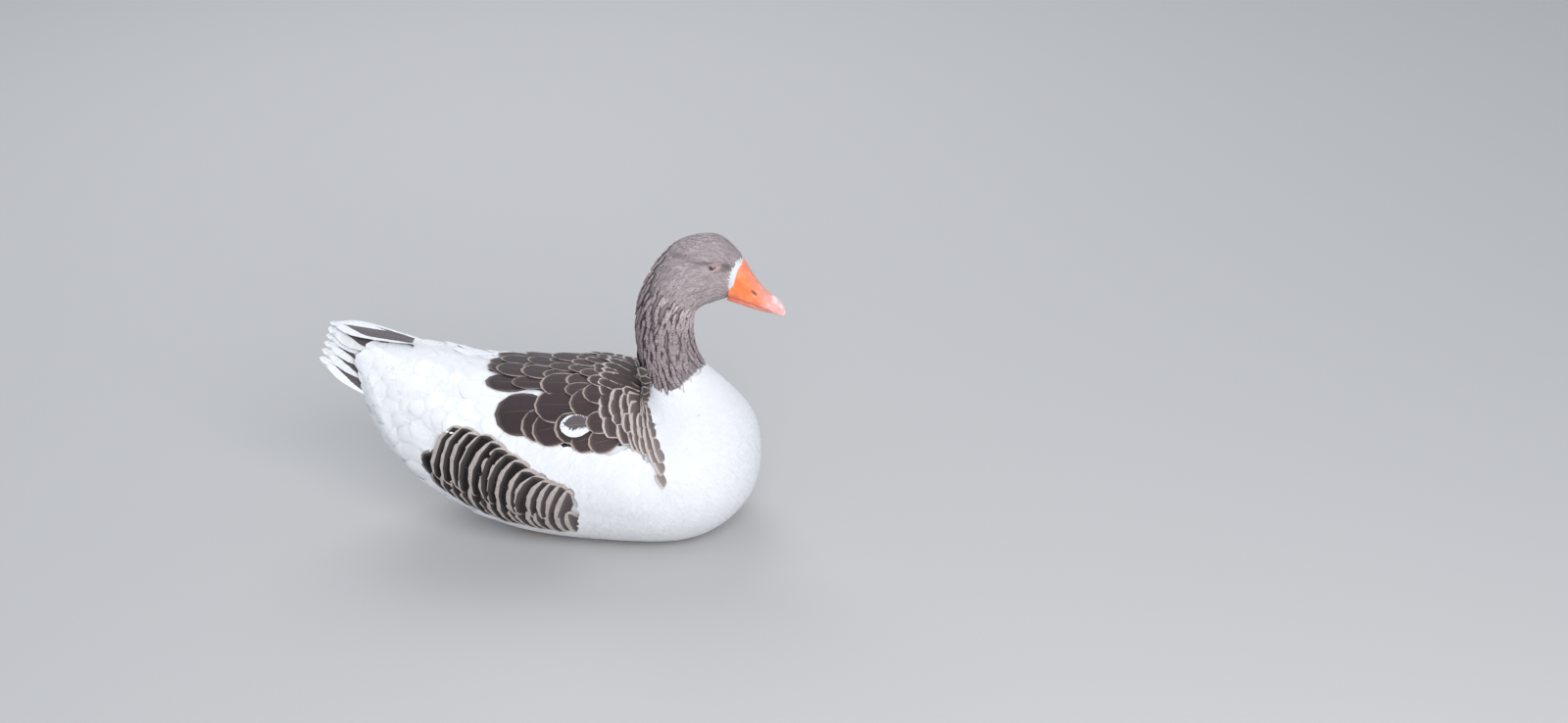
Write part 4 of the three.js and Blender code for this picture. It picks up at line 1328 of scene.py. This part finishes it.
@dataclass
class BigFeathers:
    """The large feathers of saddle, mantle, flank, wing and tail.

    Each has more of the bake map than a body feather has, because its edges and shaft are drawn on it.
    """

    coat: Coat
    tail_count: int = 11
    # Where the tail's vanes start and end: x, half width, height, and drop at the sides, in mm.
    tail_root: tuple[float, float, float, float] = (-222, 30, 244, 80)
    tail_tip: tuple[float, float, float, float] = (-331, 44, 268, 25)
    tail_middle: float = 46.0
    tail_width: float = 29.0
    # The trunk's radius that turns a step round it into degrees, and how far a root lies ahead of its tip.
    round_trunk: float = 125.0
    root_share: float = 0.92

    def build(self) -> None:
        """Lays every tract of big feathers."""
        white, edged, centred = self.coat.white, Pattern.EDGED, Pattern.CENTRED
        # Dark keratin with a narrow worn rim: each feather reads, and the saddle stays one dark patch.
        saddle = FeatherVane("saddle_feather", 0.6, pattern=edged, edge="#b3a199", edge_width=3.0).build()
        # Broader pale rims, more at the sides than at the tip: the scalloped bands of the mantle.
        mantle = FeatherVane("mantle_feather", 0.65, pattern=edged, edge="#cfc4bf", edge_width=3.5,
                             side_share=2.0).build()
        # The broadest rims, quite matt: pale bars across a nearly black flank.
        flank = FeatherVane("flank_feather", 0.65, pattern=edged, edge="#cbc1bc", edge_width=5.6,
                            gloss=0.15, sheen=0.0).build()
        # White with a grey side, torn at its border: one feather out of place.
        fringe = FeatherVane("fringed_feather", 0.6, pattern=centred, edge="#544c51", skew=0.3, fill=1.2,
                             dark_to=(0.64, 1.0), ragged=1.0).build()
        # White with a long grey lens: the striped fan of the tail.
        tail = FeatherVane("tail_feather", 0.6, pattern=centred, fill=0.8, dark_to=(0.5, 0.9), edge="#463f43",
                           shaft="#8f898a").build()
        dark, saddle_run = "grey_feather", MARKS.saddle_run
        self.lay_rows("wing_feathers", WING_ROWS, LONG, white, "white_feather", 0.02, tip=2.0, lift=4.8)
        self.lay_rows("tail_coverts", TAIL_COVERTS, BROAD, white, "white_feather", 0.012, tip=3.0, lift=4.5)
        self.lay_rows("flank_feathers", flank_rows(), BROAD, flank, dark, 0.012, MARKS.flank_run, 4.5, 5.0)
        self.lay_rows("saddle_feathers", SADDLE_REAR, BROAD, saddle, dark, 0.02, saddle_run, 4.0, 5.5)
        self.lay_rows("ruffled_feather", RUFFLED, BROAD, fringe, dark, 0.02, None, 4.0, 5.5, sides=(-1,))
        self.lay_rows("mantle_top", MANTLE_TOP, BROAD, mantle, dark, 0.008, saddle_run, 4.2, 5.6)
        self.lay_rows("mantle_feathers", mantle_rows(), SQUARE, mantle, dark, 0.008, saddle_run, 4.4, 5.2)
        self.lay_tail(tail)

    def lay_rows(self, name: str, rows: Sequence[Row], vane: Vane, finish: Material, slot: str,
                 patch: float, run: Sequence[tuple[float, str]] | None = None, tip: float = 3.0,
                 lift: float = 5.0, sides: Sequence[int] = (-1, 1)) -> None:
        """Lays rows of feathers.

        Args:
            name: the tract's name.
            rows: its rows.
            vane: the shape of each feather.
            finish: their material.
            slot: the record's material slot; not used.
            patch: the size of each feather's patch on the bake map.
            run: their colours along x, or None for the white of the body.
            tip: how far the tips stand over the roots, in mm.
            lift: how high the roots lie over the skin, in mm.
            sides: 1 for the left and -1 for the right.
        """
        found = []
        for row in rows:
            at = np.linspace(*row.bearings, row.count) if row.count > 1 else np.array([row.bearings[0]])
            for side in sides:
                jitter = self.coat.noise(row.count * 3, -1, 1).reshape(3, -1)
                turn = np.radians(row.turn + 2.5 * jitter[0])
                tip_x = row.tip_x + 1.3 * jitter[1]
                x = tip_x + self.root_share * row.length * np.cos(turn)
                bearing = at + 0.7 * jitter[2] - np.degrees(row.length * np.sin(turn) / self.round_trunk)
                same = (np.full(row.count, float(v)) for v in (side, row.length, row.width, row.edge, row.up))
                found.append((tip_x, x, bearing, turn, *same))
        tip_x, x, bearing, turn, side, length, width, edge, up = (np.concatenate(v) for v in zip(*found))
        s, angle = self.coat.chart.at(x, bearing, side)
        place, normal = SKIN.point(s, angle), HULL.axes(s, angle)[0]
        back = unit(np.array([-1.0, 0, 0]) - normal * -normal[:, :1])
        round_ = np.stack([0 * s, side * (place[:, 2] - HULL.axis_z), -np.abs(place[:, 1])], -1)
        down = np.cross(normal, back)
        down *= np.sign(np.sum(down * round_, -1))[:, None]
        lie = back * np.cos(turn)[:, None] + down * np.sin(turn)[:, None]
        n = len(s)
        tint = blend(tip_x, *run) if run else np.tile(MARKS.white, (n, 1))
        tint[:, 3] = edge
        roots = self.coat.roots(s, angle, place, normal, lie, {
            "length": length, "width": width, "camber": np.maximum(0.9, width * 0.03), "lift": lift + up,
            "tip_lift": tip + self.coat.noise(n, -0.5, 0.5), "bend": self.coat.noise(n, -2, 2), "tint": tint})
        self.coat.lay(name, roots, vane, finish, slot, patch)

    def tail_end(self, end: tuple[float, float, float, float], share: Array) -> Array:
        """Points of the fan's root or tip line in mm, at shares from -1 on the right to 1 on the left."""
        x, half, height, drop = end
        return np.stack([x - 4 * share**2, half * share, height - drop * np.abs(share) ** 1.5], -1)

    def lay_tail(self, finish: Material) -> None:
        """Lays the fan of tail feathers, the middle ones over the outer ones."""
        share = np.linspace(-1, 1, self.tail_count)
        root, tip = self.tail_end(self.tail_root, share), self.tail_end(self.tail_tip, share)
        lie = unit(tip - root)
        slope = -np.sign(share) * np.sqrt(np.abs(share))
        beside = np.stack([0 * share, np.ones(share.shape), slope], -1)
        beside = unit(beside - lie * np.sum(beside * lie, -1)[:, None])
        normal = np.cross(lie, beside)
        normal *= np.sign(normal[:, 2:])
        length = np.linalg.norm(tip - root, axis=-1)
        width = np.where(np.abs(share) < 0.2, self.tail_middle, self.tail_width)
        lift = 5 * np.clip(1 - 1.6 * np.abs(share), 0, 1) - 0.4 * share
        roots = self.coat.roots(np.full(share.shape, 1.0), share * 0.6, root, normal, lie, {
            "length": length, "width": width, "camber": 0.9, "lift": lift, "tip_lift": -1.0, "hug": 0.0,
            "tint": np.array(MARKS.white)})
        self.coat.lay("tail_feathers", roots, LONG, finish, "white_feather", 0.02, ("tail",))


# ---- Bill, eyes and feet ----


@dataclass(frozen=True)
class Horn(Finish):
    """Live horn over bone, grown: waxy, with pores and creases about 1 mm apart and light let in."""

    crease: float = 1.1
    depth: float = 0.12
    glow: float = 0.2

    def build(self) -> Material:
        """Makes the material, in the colour stored on the mesh."""
        material, tree, shader = self.start()
        place, tint = here(tree), attribute(tree, "tint", "Color")
        pores, cloud = noise(tree, place, 1 / (self.crease * MM), 3.0), noise(tree, place, 140.0)
        low = times(tree, tint, (0.86, 0.74, 0.7))
        colour = mixed(tree, between(tree, cloud, 0.4, 0.7), low, tint)
        colour = mixed(tree, between(tree, pores, 0.3, 0.45), low, colour)
        feed(tree, shader, {"Base Color": colour, "Coat Weight": 0.15, "Coat Roughness": 0.3,
                            **self.light_within(self.glow, (1.0, 0.45, 0.3), 2)})
        self.relief(tree, shader, pores, self.depth)
        return material


def arch(edge: Array, crown: Array, half: float, sides: int, bulge: float = 0.85) -> Array:
    """A closed half round section: an arch from the mouth line to its crown, then back across the mouth.

    Args:
        edge: the mouth line's point, as (x, z) in mm.
        crown: the crown's point.
        half: the half width at the mouth.
        sides: how many steps the arch has.
        bulge: 1 for a round arch, less for a squarer one.

    Returns:
        The section's points.
    """
    angle = np.linspace(-PI / 2, PI / 2, sides + 1)
    rise = np.maximum(0, np.cos(angle))[:, None] ** bulge
    flat = edge + (crown - edge) * rise
    top = np.stack([flat[:, 0], half * np.sin(angle), flat[:, 1]], -1)
    back = np.linspace(1, -1, 7)[1:-1, None] * np.array([0, half, 0]) + np.array([edge[0], 0, edge[1]])
    return np.concatenate([top, back])


@dataclass
class Bill:
    """The bill: an upper mandible with a ridge, nostrils and a nail, and a lower one under it."""

    # The ridge is a cubic curve on these four points, and the mouth line is straight.
    ridge: tuple[Pair, ...] = ((210, 388), (221, 368), (231, 335), (268, 315))
    edge: tuple[Pair, ...] = ((196, 333.6), (262, 307.7))
    tip: Pair = (266, 302)
    half: float = 19.0
    nail_from: float = 0.8
    jaw_share: float = 0.9
    jaw_depth: float = 11.0
    stations: int = 84
    sides: int = 48
    nostril: Pair = (0.5, 0.5)
    nostril_size: Pair = (0.055, 0.045)
    # Colours along the bill, as shares of its length from the root: of its sides, its ridge and its jaw.
    side_run = ((0, "#fb8d50"), (0.35, "#fd8c49"), (0.6, "#fb956c"), (0.78, "#f8b5ad"), (1, "#f6c6c4"))
    ridge_run = ((0, "#fa8f63"), (0.5, "#fba282"), (0.78, "#f9bab2"), (1, "#f7cbca"))
    jaw_run = ((0, "#f2835c"), (0.5, "#f39a8b"), (0.9, "#f3b5b0"))
    nail_colour: str = "#f8dfe0"
    rim_colour: str = "#dd7f78"
    # Painted shade of the nostril's opening.
    nostril_shade: str = "#5c2a20"

    def build(self) -> None:
        """Makes both mandibles."""
        horn = Horn("bill_horn", 0.42).build()
        self.upper(horn)
        self.lower(horn)

    def line(self, ends: Pairs, t: float) -> Array:
        """A point on a straight line between two ends."""
        return np.array(ends[0]) * (1 - t) + np.array(ends[1]) * t

    def ridge_at(self, t: float) -> Array:
        """A point of the ridge. Its root is sunk under the feathers of the forehead."""
        a, b, c, d = (np.array(p, float) for p in self.ridge)
        place = (1 - t) ** 3 * a + 3 * (1 - t) ** 2 * t * b + 3 * (1 - t) * t**2 * c + t**3 * d
        return place - np.array([4.0, 2.5]) * (1 - smooth(0.04, 0.22, np.array(t)))

    def upper(self, horn: Material) -> None:
        """Makes the upper mandible."""
        loops, tints = [], []
        for t in 1 - (1 - np.linspace(0, 0.999, self.stations)) ** 1.15:
            k = max(0.0, (t - self.nail_from) / (1 - self.nail_from))
            edge, crown = self.line(self.edge, t), self.ridge_at(t)
            edge = edge + (np.array(self.tip) - edge) * k**3 - np.array([0, 2.2]) * math.sin(PI * k)
            crown = crown + (np.array(self.tip) - crown) * k**4
            taper = (1 - 0.3 * t**1.2 + 0.06 * (1 - t) ** 6) * math.sqrt(max(0, 1 - k**2.3))
            half = self.half * taper * (1 - 0.06 * math.sin(PI * t))
            loop = arch(edge, crown, half, self.sides, 0.8 + 0.25 * t)
            rise = np.clip((loop[:, 2] - edge[1]) / max(crown[1] - edge[1], 1e-3), 0, 1)
            side = np.abs(loop[:, 1]) / max(half, 1e-3)
            hole = np.exp(-(((t - self.nostril[0]) / self.nostril_size[0]) ** 4)
                          - ((rise - self.nostril[1]) / self.nostril_size[1]) ** 2) * (side > 0.3)
            rib = bump(rise, 0.0, 0.12) * (side > 0.8)
            nail = smooth(0.0, 0.16, np.array(k)) * smooth(0.85, 0.5, side) * smooth(0.1, 0.4, rise)
            groove = bump(rise, 0.33 + 0.1 * t, 0.08) * smooth(0.5, 0.1, abs(t - 0.35)) * (side > 0.3)
            loop[:, 1] *= 1 - (1.9 * hole + 0.45 * groove) / max(half, 4) + 0.03 * rib
            loop[:, 0] += 0.9 * nail
            loop[:, 2] += 0.7 * nail
            loops.append(loop)
            tints.append(self.paint(t, rise, np.maximum(nail, float(smooth(0.5, 1, np.array(k)))), rib, hole))
        self.piece("bill_top", loops, tints, horn, "bill_upper")

    def paint(self, t: float, rise: Array, nail: Array, rib: Array, hole: Array) -> Array:
        """The upper mandible's colours round one section: orange, paler to the ridge, pink to the nail, and
        painted shade in the nostril.

        Args:
            t: how far along the bill the section is.
            rise: how far up the section each point is.
            nail, rib, hole: how much of the nail, the mouth's rim and the nostril each point has.

        Returns:
            The colours.
        """
        at = np.full(rise.shape, t)
        tint, high = blend(at, *self.side_run), blend(at, *self.ridge_run)
        tint = tint + (high - tint) * smooth(0.45, 0.95, rise)[:, None]
        for colour, share in ((self.nail_colour, nail), (self.rim_colour, 0.5 * rib),
                              (self.nostril_shade, np.clip(1.25 * hole, 0, 1))):
            tint = tint + (linear(colour) - tint) * share[:, None]
        return tint

    def lower(self, horn: Material) -> None:
        """Makes the lower mandible."""
        loops, tints = [], []
        for t in np.linspace(0, self.jaw_share, self.stations // 2):
            end = t / self.jaw_share
            edge = self.line(self.edge, t) - np.array([0, 0.9 + 1.3 * smooth(0.75, 1, np.array(end))])
            depth = (self.jaw_depth - 3 * t) * math.sqrt(max(0.0, 1 - 0.97 * end**8))
            half = 0.87 * self.half * (1 - 0.3 * t) * math.sqrt(max(0.0, 1 - 0.97 * end**6))
            loops.append(arch(edge, edge - np.array([0.2, 1.0]) * depth, half, self.sides // 2, 0.8))
            tints.append(blend(np.full(len(loops[-1]), t), *self.jaw_run))
        self.piece("bill_jaw", loops, tints, horn, "bill_lower")

    def piece(self, name: str, loops: list[Array], tints: list[Array], horn: Material, node: str) -> None:
        """Joins sections into a closed piece and hands it over."""
        size = len(loops), len(loops[0])
        faces = grid_faces(*size) + end_faces(*size)
        made = mesh_object(name, np.concatenate(loops), faces, horn, tint=np.concatenate(tints))
        outward(made)
        keep(made, "bill_horn", (node,))


@dataclass(frozen=True)
class ScaledSkin(Finish):
    """Bare leg skin, grown: small raised scales about 1.6 mm across, darker in the creases between them."""

    scale: float = 1.6
    depth: float = 0.35

    def build(self) -> Material:
        """Makes the material, in the colour stored on the mesh."""
        material, tree, shader = self.start()
        cells = add_node(tree, "ShaderNodeTexVoronoi", {"Vector": here(tree), "Scale": 1 / (self.scale * MM)},
                         feature="DISTANCE_TO_EDGE").outputs["Distance"]
        raised = between(tree, cells, 0.0, 0.25)
        tint = attribute(tree, "tint", "Color")
        colour = mixed(tree, raised, times(tree, tint, (0.62, 0.45, 0.38)), tint)
        feed(tree, shader, {"Base Color": colour, **self.light_within(0.12, (1.0, 0.4, 0.25), 2)})
        self.relief(tree, shader, raised, self.depth)
        return material


def tube(centres: Array, radii: Array, sides: int, flat: float = 1.0) -> Solid:
    """A closed tube along a level line, with its ends rounded off.

    Args:
        centres: the line's points, in mm.
        radii: its radius at each.
        sides: how many sides it has.
        flat: its height as a share of its width.

    Returns:
        Its points and faces.
    """
    ahead = unit(np.gradient(centres, axis=0))
    beside = unit(np.cross([0.0, 0.0, 1.0], ahead))
    above = np.cross(ahead, beside)
    angle = np.arange(sides) * 2 * PI / sides
    c, n = np.cos(angle)[None, :, None], np.sin(angle)[None, :, None]
    ring = c * beside[:, None] + flat * n * above[:, None]
    points = (centres[:, None] + ring * radii[:, None, None]).reshape(-1, 3)
    return points, grid_faces(len(centres), sides) + end_faces(len(centres), sides)


@dataclass
class Foot:
    """A shank along the floor, and a half closed webbed foot with three toes, a hind toe and claws.

    A toe is its turn in steps of the spread, and its length as a share of the reach.
    """

    name: str
    side: int
    heel: float = -79.0
    ankle: float = -4.0
    across: float = 40.0
    reach: float = 86.0
    spread: float = 15.0
    toes: tuple[tuple[int, float], ...] = ((-1, 0.86), (0, 1.0), (1, 0.9))
    hind_toe: tuple[int, float] = (8, 0.16)
    bumps: int = 4
    skin_colour: str = "#e8853f"
    claw_colour: str = "#8d7a6c"

    def build(self, skin: Material, horn: Material) -> None:
        """Makes the leg in scaled skin, and its claws in horn."""
        shells, claws = [self.shank(), self.web()], []
        for way, share in (*self.toes, self.hind_toe):
            toe, claw = self.toe(way, share)
            shells.append(toe)
            claws.append(claw)
        nodes = (f"leg_{self.name}", f"foot_{self.name}")
        self.hand_over(f"foot_skin_{self.name}", shells, skin, self.skin_colour, nodes)
        self.hand_over(f"claws_{self.name}", claws, horn, self.claw_colour)

    def along(self, way: float, reach: Array, height: Array | float) -> Array:
        """Points on a toe's line, in mm: way is its turn in steps of the spread."""
        turn = math.radians(self.spread) * way
        y = self.side * self.across + reach * math.sin(turn)
        return np.stack([self.ankle + reach * math.cos(turn), y, height + 0 * reach], -1)

    def shank(self) -> Solid:
        """The shank, thick at the heel and ankle, flat where it rests."""
        x = np.linspace(self.heel, self.ankle, 26)
        t = (x - self.heel) / (self.ankle - self.heel)
        ends = np.sqrt(np.clip(t * (1 - t) * 60, 0.05, 1))
        radii = (6.9 + 2.3 * bump(t, 0, 0.3) + 1.2 * bump(t, 1, 0.2)) * ends
        points, faces = tube(np.stack([x, self.side * self.across + 0 * x, 7.6 + 0 * x], -1), radii, 24)
        points[:, 2] = np.maximum(points[:, 2], 0.9)
        return points, faces

    def toe(self, way: float, share: float) -> tuple[Solid, Solid]:
        """A toe with its joints' swellings, and its claw."""
        end = share * self.reach - 7
        reach = np.linspace(-4 if way == self.hind_toe[0] else 0, end, 40)
        t = (reach - reach[0]) / (end - reach[0])
        radii = 4.3 - 1.3 * t + 0.5 * np.cos(2 * PI * self.bumps * t)
        radii *= np.sqrt(np.clip((1.02 - t) * 14, 0.1, 1))
        toe = tube(self.along(way, reach, 1.0 + radii * 0.85), radii, 14, 0.85)
        tip = np.linspace(end - 3, end + 6.5, 10)
        u = (tip - tip[0]) / (tip[-1] - tip[0])
        claw = tube(self.along(way, tip, 3.6 - 2.0 * u**2), 2.1 * np.sqrt(np.clip(1 - u, 0.01, 1)), 10, 0.8)
        return toe, claw

    def web(self) -> Solid:
        """The web between the toes: thin, with a front edge that curves in from toe to toe."""
        ways = np.linspace(-1, 1, 33)
        ends = np.interp(ways, [w for w, _ in self.toes], [share for _, share in self.toes])
        ends = self.reach * (ends * 0.86 - 0.16 * np.sin(PI * np.abs(ways)) ** 0.8)
        radial = np.linspace(0.06, 1, 14)
        top = np.stack([self.along(way, radial * end, 3.4 + 0.35 * np.sin(9 * radial + 3 * way))
                        for way, end in zip(ways, ends)], 1)
        low = top - np.array([0, 0, 1.6])
        n, m = top.shape[:2]
        points = np.concatenate([top.reshape(-1, 3), low.reshape(-1, 3)])
        faces = grid_faces(n, m, closed=False)
        faces += [[v + n * m for v in face[::-1]] for face in faces]
        rim = [*range(m), *((i + 1) * m - 1 for i in range(1, n)),
               *((n - 1) * m + j for j in range(m - 2, -1, -1)), *(i * m for i in range(n - 2, 0, -1))]
        faces += [[b, a, a + n * m, b + n * m] for a, b in zip(rim, rim[1:] + rim[:1])]
        return points, faces

    def hand_over(self, name: str, shells: list, finish: Material, colour: str,
                  nodes: Sequence[str] = ()) -> None:
        """Joins closed shells into one piece and hands it over."""
        made = []
        for points, faces in shells:
            tint = np.tile(linear(colour), (len(points), 1))
            made.append(mesh_object(name, points, faces, finish, tint=tint))
            outward(made[-1])
        keep(join(made), "leg_skin", nodes)


@dataclass(frozen=True)
class Eyeball(Finish):
    """A wet eyeball: a clear glossy coat over the iris, which is finely flecked."""

    def build(self) -> Material:
        """Makes the material, in the colour stored on the mesh."""
        material, tree, shader = self.start()
        streaks, tint = noise(tree, here(tree), 1600.0), attribute(tree, "tint", "Color")
        colour = mixed(tree, between(tree, streaks, 0.3, 0.6), times(tree, tint, (0.6, 0.62, 0.66)), tint)
        feed(tree, shader, {"Base Color": colour, "Coat Weight": 1.0, "Coat Roughness": 0.03})
        return material


@dataclass
class Eye:
    """One eye: the ball, and an almond of bare lids round it."""

    name: str
    side: int
    opening: Pair = (6.2, 3.5)
    lids_out: Pair = (12.0, 8.0)
    tilt: float = -7.0
    brow_drop: float = 0.8
    pupil: float = 2.4
    iris: float = 5.4
    steps: int = 64
    outer_loop: int = 2
    # The lids' loops from the inner edge out: share of the way, height in mm over the ball, colour.
    lid_loops = ((-0.25, -1.5, "#5e3430"), (0.0, -0.2, "#a37c7c"), (0.04, 0.7, "#d3aaa8"),
                 (0.2, 1.5, "#e0c0bf"), (0.42, 1.7, "#d9b9ba"), (0.62, 1.3, "#c0abae"),
                 (0.85, 0.5, "#a89a9b"), (1.12, -1.2, "#94888a"))

    def axes(self) -> tuple[Array, Array, Array, Array]:
        """The ball's centre, and the ways to the bill, up and out of the head, in mm."""
        centre = np.array([EYE[0], self.side * EYE[1], EYE[2]])
        out = unit(np.array([0.1, self.side * 1.0, 0.16]))
        up = unit(np.array([0, 0, 1.0]) - out * out[2])
        fore = np.cross(up, out) * self.side
        c, n = math.cos(math.radians(self.tilt)), math.sin(math.radians(self.tilt))
        return centre, fore * c + up * n, up * c - fore * n, out

    def build(self, lid: Material, ball: Material) -> Piece:
        """Makes the eye, and returns its lids, to be joined to the skin."""
        self.make_ball(ball)
        return self.make_lids(lid)

    def make_ball(self, finish: Material) -> None:
        """Makes the eyeball, with pupil and iris round the way it looks."""
        centre, fore, up, out = self.axes()
        rows, columns = 40, 48
        polar, turn = np.meshgrid(np.linspace(0, PI, rows), np.arange(columns) * 2 * PI / columns,
                                  indexing="ij")
        polar = np.clip(polar, 0.004, PI - 0.004)
        spread = (EYE_RADIUS * np.sin(polar))[..., None]
        points = (centre + np.cos(turn)[..., None] * fore * spread + np.sin(turn)[..., None] * up * spread
                  + np.cos(polar)[..., None] * out * EYE_RADIUS)
        reach = (EYE_RADIUS * polar).ravel()
        tint = blend(reach, (0, "#0b0908"), (self.pupil - 0.15, "#0b0908"), (self.pupil + 0.2, "#5d5c60"),
                     (self.iris - 1.6, "#929094"), (self.iris, "#4c494c"), (self.iris + 0.6, "#c8b4ac"))
        faces = grid_faces(rows, columns) + end_faces(rows, columns)
        made = mesh_object(f"eyeball_{self.name}", points.reshape(-1, 3), faces, finish, tint=tint)
        outward(made)
        keep(made, "eye", (f"eye_{self.name}",))

    def make_lids(self, finish: Material) -> Piece:
        """Makes the lids as one fleshy ring, from inside the opening to under the feathers."""
        centre, fore, up, out = self.axes()
        turn = np.arange(self.steps) * 2 * PI / self.steps
        upper = smooth(0, 0.6, np.sin(turn))
        inner = np.stack([self.opening[0] * np.cos(turn) * (1 - 0.1 * np.sin(turn) ** 2),
                          self.opening[1] * np.sin(turn) - self.brow_drop * upper * 0.9], -1)
        outer = np.stack([self.lids_out[0] * np.cos(turn), self.lids_out[1] * np.sin(turn)], -1)
        loops, tints = [], []
        for share, lift, colour in self.lid_loops:
            flat = inner + (outer - inner) * share
            reach = np.minimum(np.hypot(flat[:, 0], flat[:, 1]), EYE_RADIUS * 0.985)
            ball = np.sqrt(EYE_RADIUS**2 - reach**2)
            seat, eased = 3.9 + 0.5 * upper, float(smooth(0.05, 1.0, np.array(share)))
            height = ball + (seat - ball) * eased + lift * (1 + 0.35 * upper)
            crease = 0.25 * np.sin(9 * turn + 7 * share) * (0.1 < share < 0.9)
            loops.append(centre + flat[:, :1] * fore + flat[:, 1:] * up + (height + crease)[:, None] * out)
            shade = np.tile(linear(colour), (self.steps, 1))
            corner = np.array([0, 0.35, 0.35, 0]) * bump(turn - PI, PI, 0.5)[:, None]
            # The upper lid is darkened: painted shadow of the brow.
            tints.append(shade * (1 - 0.42 * upper[:, None] * (share < 0.7)) * (1 - corner))
        made = mesh_object(f"lids_{self.name}", np.concatenate(loops), grid_faces(len(loops), self.steps),
                           finish, tint=np.concatenate(tints))
        outer_face = made.data.polygons[self.outer_loop * self.steps + 2]
        if np.dot(np.array(outer_face.normal), out) < 0:
            made.data.flip_normals()
        return made


# ---- Studio ----


@dataclass(frozen=True)
class Floor(Finish):
    """Matt painted board, rolled: a plain pale ground that only takes the shadow."""

    def build(self) -> Material:
        """Makes the material."""
        material, tree, shader = self.start()
        stipple = noise(tree, here(tree), 700.0)
        colour = mixed(tree, stipple, linear("#bcbbba"), linear("#c3c2c1"))
        tree.links.new(colour, shader.inputs["Base Color"])
        self.relief(tree, shader, stipple, 0.1)
        return material


@dataclass
class Studio:
    """A pale floor, a soft key light, a rim light behind, an even sky, and the camera."""

    camera_at: Triple = (0.7341, -3.3555, 1.844)
    right: Triple = (0.99158, 0.12681, -0.02617)
    up: Triple = (-0.03096, 0.42846, 0.90303)
    lens: float = 67.5
    sensor: float = 36.0
    floor_half: float = 6.0
    # The lamps' name, place and size in metres, and power in watts. They hang turned to the bird.
    lamps = (("key", (1.2, -2.5, 1.7), 2.6, 74.0), ("rim", (-0.6, 1.9, 2.3), 2.0, 26.0))
    lit_at: Triple = (0, 0, 0.2)
    sky: str = "#e6edf8"
    sky_strength: float = 0.7

    def build(self) -> None:
        """Sets up the whole studio."""
        self.aim_camera()
        self.lay_floor()
        self.hang_lights()

    def aim_camera(self) -> None:
        """Places the camera."""
        camera = bpy.data.cameras.new("camera")
        camera.lens, camera.sensor_width = self.lens, self.sensor
        holder = bpy.data.objects.new("camera", camera)
        bpy.context.scene.collection.objects.link(holder)
        right, up = Vector(self.right), Vector(self.up)
        turn = Matrix((right, up, right.cross(up))).transposed().to_4x4()
        holder.matrix_world = Matrix.Translation(self.camera_at) @ turn
        bpy.context.scene.camera = holder

    def lay_floor(self) -> None:
        """Lays the floor."""
        half = self.floor_half / MM
        corners = [(-half, -half, 0), (half, -half, 0), (half, half, 0), (-half, half, 0)]
        mesh_object("floor", corners, [(0, 1, 2, 3)], Floor("matt_painted_floor", 0.9).build())

    def hang_lights(self) -> None:
        """Hangs the large soft key light and the rim light, and lights the rest from the sky."""
        for name, at, size, power in self.lamps:
            lamp = bpy.data.lights.new(name, "AREA")
            lamp.shape, lamp.size, lamp.energy = "DISK", size, power
            holder = bpy.data.objects.new(name, lamp)
            holder.location = at
            holder.rotation_euler = (Vector(self.lit_at) - Vector(at)).to_track_quat("-Z", "Y").to_euler()
            bpy.context.scene.collection.objects.link(holder)
        world = bpy.data.worlds.new("soft_sky")
        world.use_nodes = True
        sky = world.node_tree.nodes["Background"]
        sky.inputs["Color"].default_value = linear(self.sky)
        sky.inputs["Strength"].default_value = self.sky_strength
        bpy.context.scene.world = world
        bpy.context.scene.view_settings.view_transform = "Standard"


def main() -> None:
    """Builds everything in order."""
    logging.basicConfig(level=logging.INFO, format="%(name)s: %(message)s")
    Studio().build()
    skin = Skin()
    skin.build()
    coat = Coat(skin.body)
    coat.lay_body()
    coat.lay_rump()
    coat.lay_neck()
    coat.lay_head()
    BigFeathers(coat).build()
    coat.clear()
    # Bare skin in fine folds, hardly lit from within: a pink rim that frames the eye.
    lid = Horn("eyelid_skin", 0.5, depth=0.2, crease=0.8, glow=0.02).build()
    ball = Eyeball("wet_eyeball", 0.2).build()
    skin.take_lids([Eye("left", 1).build(lid, ball), Eye("right", -1).build(lid, ball)])
    Bill().build()
    skin.finish()
    scaled, claw = ScaledSkin("scaled_leg_skin", 0.55).build(), Horn("claw_horn", 0.4, crease=0.6).build()
    for name, side in (("left", 1), ("right", -1)):
        Foot(name, side).build(scaled, claw)


if __name__ == "__main__":
    main()
